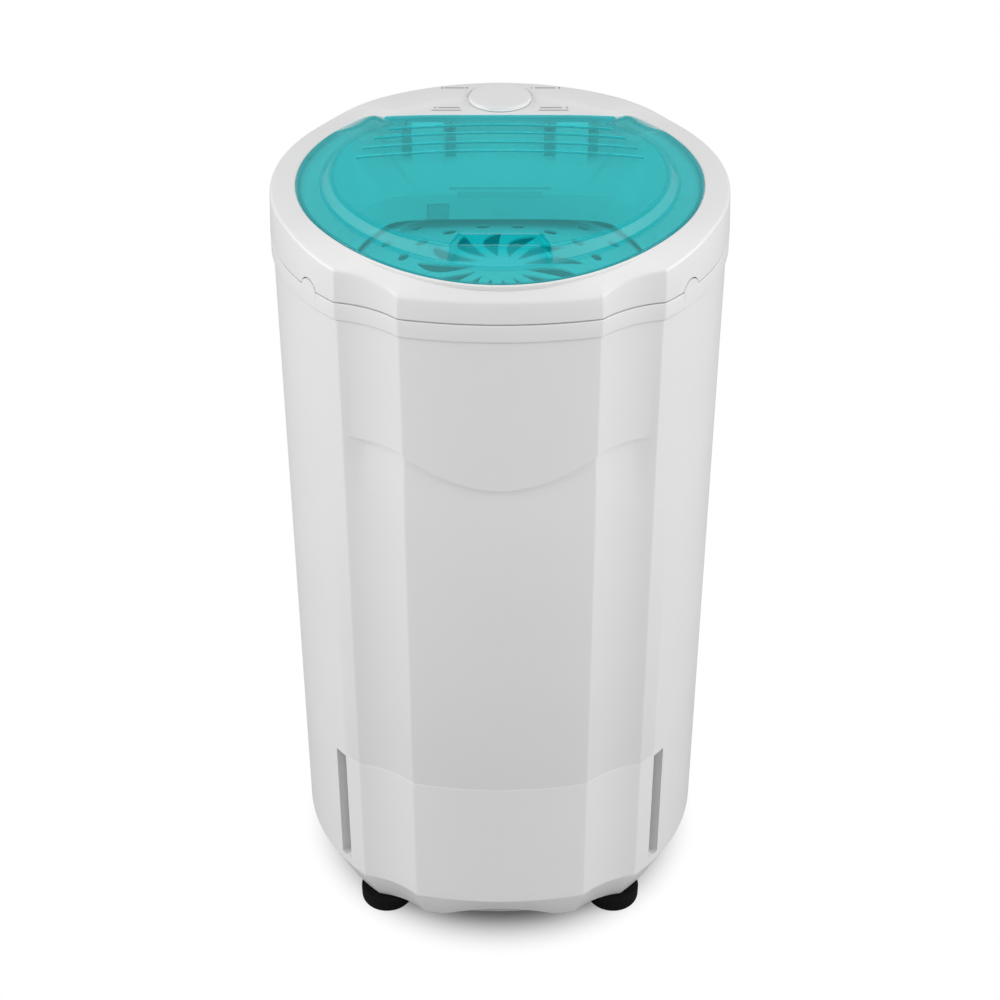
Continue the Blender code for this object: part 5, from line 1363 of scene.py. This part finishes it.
@dataclass
class LidRibs:
    """Four long low ribs that bow across the rear of the lid's dome."""

    lid: Lid
    rows: tuple[tuple[float, float, float], ...] = (
        (0.0874, 0.0877, 0.0770),
        (0.0671, 0.0988, 0.0551),
        (0.0457, 0.1068, 0.0352),
        (0.0292, 0.1109, 0.0187),
    )
    steps: int = 48
    sunk: float = 0.0005
    half_width: float = 0.0014
    flatness: float = 0.55
    # size of the dark line of painted shade along each rib's front foot
    shade_line_width: float = 0.0006
    shade_line_flatness: float = 0.9
    taper_share: float = 0.018
    taper_end: float = 0.25
    ring_steps: int = 14

    def path(self, middle_y: float, end_x: float, end_y: float, shift: float = 0.0) -> list[Vector]:
        """Course of one rib on the dome.

        Args:
            middle_y: Y of its middle.
            end_x: Half of its width.
            end_y: Y of its ends.
            shift: How far it is moved forwards.

        Returns:
            Its points from left to right.
        """
        reach = self.lid.crown.opening - self.lid.top_inset
        points = []
        for step in range(self.steps + 1):
            share = step / (self.steps / 2) - 1.0
            x, y = end_x * share, mix(middle_y, end_y, share * share) - shift
            rise = max(1.0 - (x * x + y * y) / reach**2, 0.0)
            points.append(Vector((x, y, self.lid.dome_height(y, rise) - self.sunk)))
        return points

    def sweep(self, made: bpy.types.Object, finish: MadeOnce, half_width: float, flatness: float) -> None:
        """Sweeps a flattened round along an object's paths with nodes, with its ends drawn in.

        Args:
            made: The object of open paths, which becomes the swept mesh.
            finish: Its finish.
            half_width: Half of its width.
            flatness: Its height as a share of its width.
        """
        tree = ShapeTree("rib_sweep")
        width, flat = tree.size("Half Width"), tree.size("Flatness")
        upright = tree.add("GeometryNodeSetCurveNormal", {"Curve": tree.curve()}, mode="Z_UP")
        along = tree.add("GeometryNodeSplineParameter").outputs["Factor"]
        from_end = tree.add("ShaderNodeMath", {0: along, 1: 0.5}, operation="PINGPONG").outputs["Value"]
        span = {"Value": from_end, "From Max": self.taper_share, "To Min": self.taper_end}
        taper = tree.add("ShaderNodeMapRange", span, interpolation_type="SMOOTHSTEP").outputs["Result"]
        sized = tree.add("GeometryNodeSetCurveRadius", {"Curve": upright.outputs["Curve"], "Radius": taper})
        ring = tree.add("GeometryNodeCurvePrimitiveCircle", {"Resolution": self.ring_steps, "Radius": width})
        squash = tree.add("ShaderNodeCombineXYZ", {"X": flat, "Y": 1.0, "Z": 1.0}).outputs["Vector"]
        oval = tree.add("GeometryNodeTransform", {"Geometry": ring.outputs["Curve"], "Scale": squash})
        profile = oval.outputs["Geometry"]
        parts = {"Curve": sized.outputs["Curve"], "Profile Curve": profile, "Fill Caps": True}
        tree.finish(tree.add("GeometryNodeCurveToMesh", parts).outputs["Mesh"], finish.build())
        tree.apply(made, {"Half Width": half_width, "Flatness": flatness})
        made.data.shade_smooth()

    def build(self) -> list[bpy.types.Object]:
        """Makes the ribs, in a lighter teal of painted highlight, as one piece and dark lines of painted
        shade along their front feet as another.

        Returns:
            Both pieces.
        """
        axis_y = self.lid.axis_y
        ribs = path_object("lid_ribs", [self.path(*row) for row in self.rows], axis_y)
        shade_lines = path_object("rib_shade_lines", [self.path(*row, self.half_width) for row in self.rows], axis_y)
        # the ribs get a painted highlight, the lines along their feet painted shade
        self.sweep(ribs, TEAL_RIB_HIGHLIGHT, self.half_width, self.flatness)
        self.sweep(shade_lines, TEAL_EDGE_SHADE, self.shade_line_width, self.shade_line_flatness)
        return [ribs, shade_lines]


@dataclass
class PressDisc:
    """White press disc on the basket's neck, with teardrop slots and two circles of ovals."""

    axis_y: float
    hub: float = 0.5840
    hub_radius: float = 0.0180
    ring: float = 0.5785
    ring_radius: float = 0.0820
    rim: float = 0.5765
    low: float = 0.5715
    radius: float = 0.1158
    thickness: float = 0.0016
    turn_steps: int = 120
    petals: int = 14
    petal_steps: int = 22
    petal_offset: float = 0.2
    petal_tip: float = 0.0200
    petal_end: float = 0.0680
    petal_half_tip: float = 0.0006
    petal_width: float = 0.0116
    petal_lean: float = 1.35
    petal_fullness: float = 0.8
    petal_swirl_deg: float = -6.0
    ovals: int = 18
    oval_steps: int = 20
    inner_oval: tuple[float, float] = (0.0064, 0.0040)
    outer_oval: tuple[float, float] = (0.0064, 0.0036)
    outer_ring: float = 0.1060
    cutter_over: float = 0.001

    def petal(self) -> list[Vector]:
        """Outline of one slot along +Y: one straight and one bowed edge, swept round the axis.

        Returns:
            Its points.
        """
        steps, length = self.petal_steps, self.petal_end - self.petal_tip
        tip, half_tip = self.petal_tip, self.petal_half_tip
        points = [Vector((half_tip, tip + length * step / steps)) for step in range(steps)]
        for step in range(steps + 1):
            share, width = 1.0 - step / steps, 0.0
            if 0 < step < steps:
                width = self.petal_width * math.sin(math.pi * share**self.petal_lean) ** self.petal_fullness
            points.append(Vector((-half_tip - width, tip + length * share)))
        swirl = math.radians(self.petal_swirl_deg)
        return [spin(point, swirl * (point.y - tip) / length) for point in points]

    def oval(self, middle: float, half_wide: float, half_long: float) -> list[Vector]:
        """Outline of one oval across a radius.

        Args:
            middle: Its distance from the axis.
            half_wide: Half of its size across the radius.
            half_long: Half of its size along the radius.

        Returns:
            Its points.
        """
        turn = math.tau / self.oval_steps
        points = []
        for index in range(self.oval_steps):
            across, along = half_wide * math.cos(turn * index), half_long * math.sin(turn * index)
            points.append(Vector((across, middle + along)))
        return points

    def slots(self) -> bmesh.types.BMesh:
        """Cutter for every slot.

        Returns:
            All of them as one mesh.
        """
        shapes = (
            (self.petal(), self.petals, self.petal_offset),
            (self.oval(self.ring_radius, *self.inner_oval), self.ovals, 0.5),
            (self.oval(self.outer_ring, *self.outer_oval), self.ovals, 0.0),
        )
        heights = (self.low - self.cutter_over, self.hub + self.cutter_over)
        bm = bmesh.new()
        for outline, count, offset in shapes:
            for index in range(count):
                spots = [spin(point, math.tau * (index + offset) / count) for point in outline]
                add_prism(bm, *([at_height(spot, height) for spot in spots] for height in heights))
        bmesh.ops.recalc_face_normals(bm, faces=bm.faces)
        return bm

    def build(self) -> None:
        """Makes the disc and hands it over."""
        thick = self.thickness
        inner = self.radius - thick
        bm = turned((
            (0.0001, self.hub - thick, 0.0),
            (self.hub_radius, self.hub - thick, 0.0),
            (self.ring_radius, self.ring - thick, 0.0),
            (inner, self.rim - thick, 0.0),
            (inner, self.low, 0.0),
            (self.radius, self.low, 0.0006),
            (self.radius, self.rim, 0.0012),
            (self.ring_radius, self.ring, 0.0080),
            (self.hub_radius, self.hub, 0.0040),
            (0.0, self.hub, 0.0),
        ), self.turn_steps)
        bmesh.ops.holes_fill(bm, edges=[edge for edge in bm.edges if edge.is_boundary], sides=0)
        bmesh.ops.recalc_face_normals(bm, faces=bm.faces)
        cutters = (("petal_cutter", self.slots()),)
        # the disc's white is brightened as painted fill light against the shade under the crown's mouth
        disc = Piece("petal_disc", bm, self.axis_y, (DISC_WHITE_FILL_LIT,), cutters=cutters).build()
        place(disc, Body.DISC, Slot.DISC, "press_disc")


@dataclass
class TimerKnob:
    """Low white knob with a rounded top and a flared foot, on the deck behind the lid."""

    axis_y: float
    crown: Crown
    radius: float = 0.0250
    base_radius: float = 0.0259
    bore: float = 0.0040
    top: float = 0.6656
    top_radius: float = 0.01536
    gap: float = 0.0006
    flare: tuple[float, float] = (0.0005, 0.0012)
    turn_steps: int = 96

    def build(self) -> None:
        """Makes the knob and hands it over."""
        base = self.crown.deck + self.gap
        bm = turned((
            (self.bore, base, 0.0),
            (self.base_radius, base, 0.0003),
            (self.base_radius, base + self.flare[0], 0.0003),
            (self.radius, base + self.flare[1], 0.0006),
            (self.radius, self.top, 0.0008),
            (self.top_radius, self.top, 0.0020),
            (0.0, self.top, 0.0),
        ), self.turn_steps)
        bmesh.ops.translate(bm, vec=(0.0, self.crown.knob_y, 0.0), verts=bm.verts)
        place(Piece("round_knob", bm, self.axis_y, (WHITE,)).build(), Body.TIMER, Slot.WHITE, "timer_knob")


@dataclass
class DialMarks:
    """Short printed rows beside the knob: plain numbers and ticks, made on the deck and the rear rim."""

    axis_y: float
    crown: Crown
    thickness: float = 0.00012
    rim_y: float = 0.1640
    deck_y: float = 0.1275
    low_deck_y: float = 0.1225
    rim_edge_y: float = 0.1650
    number_size: float = 0.0036
    rim_numbers: tuple[tuple[str, float], ...] = (
        ("5", -0.0478), ("0", -0.0272), ("1", 0.0262), ("2", 0.0490),
    )
    deck_numbers: tuple[tuple[str, float], ...] = (("4", -0.0530), ("3", 0.0545))
    rim_row: tuple[float, float] = (0.0298, 0.0450)
    deck_row: tuple[float, float] = (0.0335, 0.0495)
    low_deck_row: tuple[float, float] = (0.0320, 0.0550)
    pitch: float = 0.0016
    tick_width: float = 0.0009
    tick_length: float = 0.0018

    def heights(self, lift: float) -> tuple[float, float]:
        """Heights on the rear rim and on the deck, lifted a little."""
        return self.crown.edge_height(self.rim_edge_y) + lift, self.crown.deck + lift

    def number(self, text: str, spot: Vector) -> bpy.types.Mesh:
        """Makes one number that lies flat.

        Args:
            text: The number.
            spot: Its place.

        Returns:
            Its mesh.
        """
        data = bpy.data.curves.new("number", "FONT")
        data.body = text
        data.size = self.number_size
        data.extrude = self.thickness / 2
        data.align_x = "CENTER"
        data.align_y = "CENTER"
        data.resolution_u = 3
        made = bpy.data.objects.new("number", data)
        bpy.context.scene.collection.objects.link(made)
        mesh = plain_mesh(made)
        bpy.data.objects.remove(made, do_unlink=True)
        for vert in mesh.vertices:
            vert.co += spot
        return mesh

    def numbers(self) -> bpy.types.Object:
        """The dial's numbers as one piece.

        Returns:
            The piece.
        """
        rim, deck = self.heights(self.thickness)
        whole = bmesh.new()
        for row, y, z in ((self.rim_numbers, self.rim_y, rim), (self.deck_numbers, self.deck_y, deck)):
            for text, x in row:
                whole.from_mesh(self.number(text, Vector((x, y, z))))
        return Piece("dial_numbers", whole, self.axis_y, (INK,)).build()

    def ticks(self) -> bpy.types.Object:
        """Rows of short ticks, set out along paths by nodes.

        Returns:
            All rows as one piece.
        """
        rim, deck = self.heights(self.thickness / 2)
        rows = ((self.rim_y, self.rim_row, rim), (self.deck_y, self.deck_row, deck))
        rows += ((self.low_deck_y, self.low_deck_row, deck),)
        paths = [[Vector((side * x, y, z)) for x in span] for side in (-1, 1) for y, span, z in rows]
        made = path_object("dial_ticks", paths, self.axis_y)
        tree = ShapeTree("tick_rows")
        pitch, wide, tall = tree.size("Pitch"), tree.size("Tick Width"), tree.size("Tick Length")
        spread = {"Curve": tree.curve(), "Length": pitch}
        points = tree.add("GeometryNodeCurveToPoints", spread, mode="LENGTH")
        bar = tree.add("ShaderNodeCombineXYZ", {"X": wide, "Y": tall, "Z": self.thickness})
        cube = tree.add("GeometryNodeMeshCube", {"Size": bar.outputs["Vector"]})
        parts = {"Points": points.outputs["Points"], "Instance": cube.outputs["Mesh"]}
        tree.finish(tree.add("GeometryNodeInstanceOnPoints", parts).outputs["Instances"], INK.build())
        sizes = {"Pitch": self.pitch, "Tick Width": self.tick_width, "Tick Length": self.tick_length}
        tree.apply(made, sizes)
        return made

    def build(self) -> None:
        """Makes numbers and ticks and hands them over."""
        place(self.numbers(), Body.CABINET, Slot.WHITE)
        place(self.ticks(), Body.CABINET, Slot.WHITE)


@dataclass
class Feet:
    """Four round black rubber feet with a drawn-in lower edge and an open stud that goes up into the base."""

    axis_y: float
    place_out: float = 0.1010
    radius: float = 0.0230
    height: float = 0.0154
    bore: float = 0.0030
    sole_share: float = 0.90
    edge_share: float = 0.99
    edge_height: float = 0.0026
    side_share: float = 0.62
    stud_shares: tuple[float, float] = (0.45, 0.43)
    stud_end: float = 0.0198
    stud_top: float = 0.0200
    turn_steps: int = 64

    def build(self) -> None:
        """Makes the feet and hands each one over."""
        stud_low, stud_high = (self.radius * share for share in self.stud_shares)
        line = (
            (self.bore, 0.0, 0.0),
            (self.radius * self.sole_share, 0.0, 0.0016),
            (self.radius * self.edge_share, self.edge_height, 0.0020),
            (self.radius, self.height * self.side_share, 0.0030),
            (self.radius, self.height, 0.0016),
            (stud_low, self.height, 0.0),
            (stud_high, self.stud_end, 0.0),
            (0.0, self.stud_top, 0.0),
        )
        for row, y in (("front", -self.place_out), ("back", self.place_out)):
            for hand, x in (("left", -self.place_out), ("right", self.place_out)):
                bm = turned(line, self.turn_steps)
                bmesh.ops.translate(bm, vec=(x, y, 0.0), verts=bm.verts)
                foot = Piece(f"rubber_foot_{row}_{hand}", bm, self.axis_y, (RUBBER,), 35.0).build()
                place(foot, Body.CABINET, Slot.RUBBER, f"foot_{row}_{hand}")


@dataclass(frozen=True)
class Studio:
    """Camera at the photograph's angle, a white sweep of floor and soft lamps."""

    axis_y: float
    distance: float = 1.4947
    height: float = 1.3918
    tilt_deg: float = 55.44
    lens: float = 77.36
    sky: float = 0.50
    floor_colour: float = 0.44
    floor_size: float = 6.0
    fade_from: float = 0.125
    fade_to: float = 0.185
    aim_height: float = 0.35
    lamps: tuple[tuple[str, Point, float, float], ...] = (
        ("top_lamp", (0.0, -0.5, 2.3), 1.8, 9.0),
        ("front_lamp", (0.0, -2.6, 1.2), 1.5, 12.0),
        ("left_lamp", (-2.0, -0.3, 1.1), 1.2, 19.5),
        ("right_lamp", (2.0, -0.3, 1.1), 1.2, 19.5),
    )

    def camera(self) -> None:
        """Makes the scene's camera."""
        data = bpy.data.cameras.new("camera")
        data.lens = self.lens
        data.sensor_width = 36.0
        camera = bpy.data.objects.new("camera", data)
        camera.location = (0.0, self.axis_y - self.distance, self.height)
        camera.rotation_euler = (math.radians(self.tilt_deg), 0.0, 0.0)
        bpy.context.scene.collection.objects.link(camera)
        bpy.context.scene.camera = camera

    def lamp(self, name: str, spot: Point, size: float, power: float) -> None:
        """Adds one square area lamp that faces the object's upper middle.

        Args:
            name: The lamp's name.
            spot: Its place.
            size: Its side.
            power: Its power in watts.
        """
        data = bpy.data.lights.new(name, "AREA")
        data.size = size
        data.energy = power
        lamp = bpy.data.objects.new(name, data)
        lamp.location = spot
        facing = Vector((0.0, self.axis_y, self.aim_height)) - Vector(spot)
        lamp.rotation_euler = facing.to_track_quat("-Z", "Y").to_euler()
        bpy.context.scene.collection.objects.link(lamp)

    def world(self) -> None:
        """Makes a white surround for the camera and a softer one for the object."""
        world = bpy.data.worlds.new("surround")
        world.use_nodes = True
        nodes = NodeTree(world.node_tree)
        rays = nodes.add("ShaderNodeLightPath").outputs
        straight = {0: rays["Is Camera Ray"], 1: rays["Is Transmission Ray"]}
        seen = nodes.add("ShaderNodeMath", straight, operation="MAXIMUM").outputs["Value"]
        level = nodes.add("ShaderNodeMapRange", {"Value": seen, "To Min": self.sky, "To Max": 1.0})
        back = {"Color": (1.0, 1.0, 1.0, 1.0), "Strength": level.outputs["Result"]}
        nodes.feed(world.node_tree.nodes["Background"], back)
        bpy.context.scene.world = world

    def floor(self) -> None:
        """Makes a pale floor that keeps the contact shadow and runs out into white."""
        bm = bmesh.new()
        bmesh.ops.create_grid(bm, x_segments=1, y_segments=1, size=self.floor_size)
        floor = mesh_object("floor", bm)
        made = bpy.data.materials.new("pale_floor")
        made.use_nodes = True
        nodes = NodeTree(made.node_tree)
        pale = {"Base Color": (*[self.floor_colour] * 3, 1.0), "Roughness": 0.9}
        shader = nodes.feed(made.node_tree.nodes["Principled BSDF"], pale)
        glow = nodes.add("ShaderNodeEmission", {"Color": (1.0, 1.0, 1.0, 1.0), "Strength": 1.0})
        spot = nodes.add("ShaderNodeTexCoord").outputs["Object"]
        reach = nodes.add("ShaderNodeVectorMath", {0: spot}, operation="LENGTH").outputs["Value"]
        span = {"Value": reach, "From Min": self.fade_from, "From Max": self.fade_to}
        fade = nodes.add("ShaderNodeMapRange", span, interpolation_type="SMOOTHSTEP").outputs["Result"]
        seen = nodes.add("ShaderNodeLightPath").outputs["Is Camera Ray"]
        share = nodes.add("ShaderNodeMath", {0: fade, 1: seen}, operation="MULTIPLY").outputs["Value"]
        parts = {"Fac": share, 1: shader.outputs["BSDF"], 2: glow.outputs["Emission"]}
        blend = nodes.add("ShaderNodeMixShader", parts).outputs["Shader"]
        nodes.feed(made.node_tree.nodes["Material Output"], {"Surface": blend})
        floor.data.materials.append(made)

    def build(self) -> None:
        """Sets the whole studio up."""
        bpy.context.scene.view_settings.view_transform = "Standard"
        self.camera()
        self.world()
        self.floor()
        for row in self.lamps:
            self.lamp(*row)


def axis_place() -> float:
    """Y of the upright spin axis, from the middle of the drive shaft."""
    low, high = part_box("drive_shaft")
    return (low[1] + high[1]) / 2


def main() -> None:
    """Builds the studio and every piece in order."""
    logging.basicConfig(level=logging.INFO, format="%(message)s")
    axis_y = axis_place()
    Studio(axis_y).build()
    dress_nodes()
    outline = Outline()
    crown = Crown(axis_y, outline)
    CabinetShell(axis_y, outline).build()
    crown.build()
    Lid(axis_y, crown).build()
    PressDisc(axis_y).build()
    TimerKnob(axis_y, crown).build()
    DialMarks(axis_y, crown).build()
    Feet(axis_y).build()


if __name__ == "__main__":
    main()
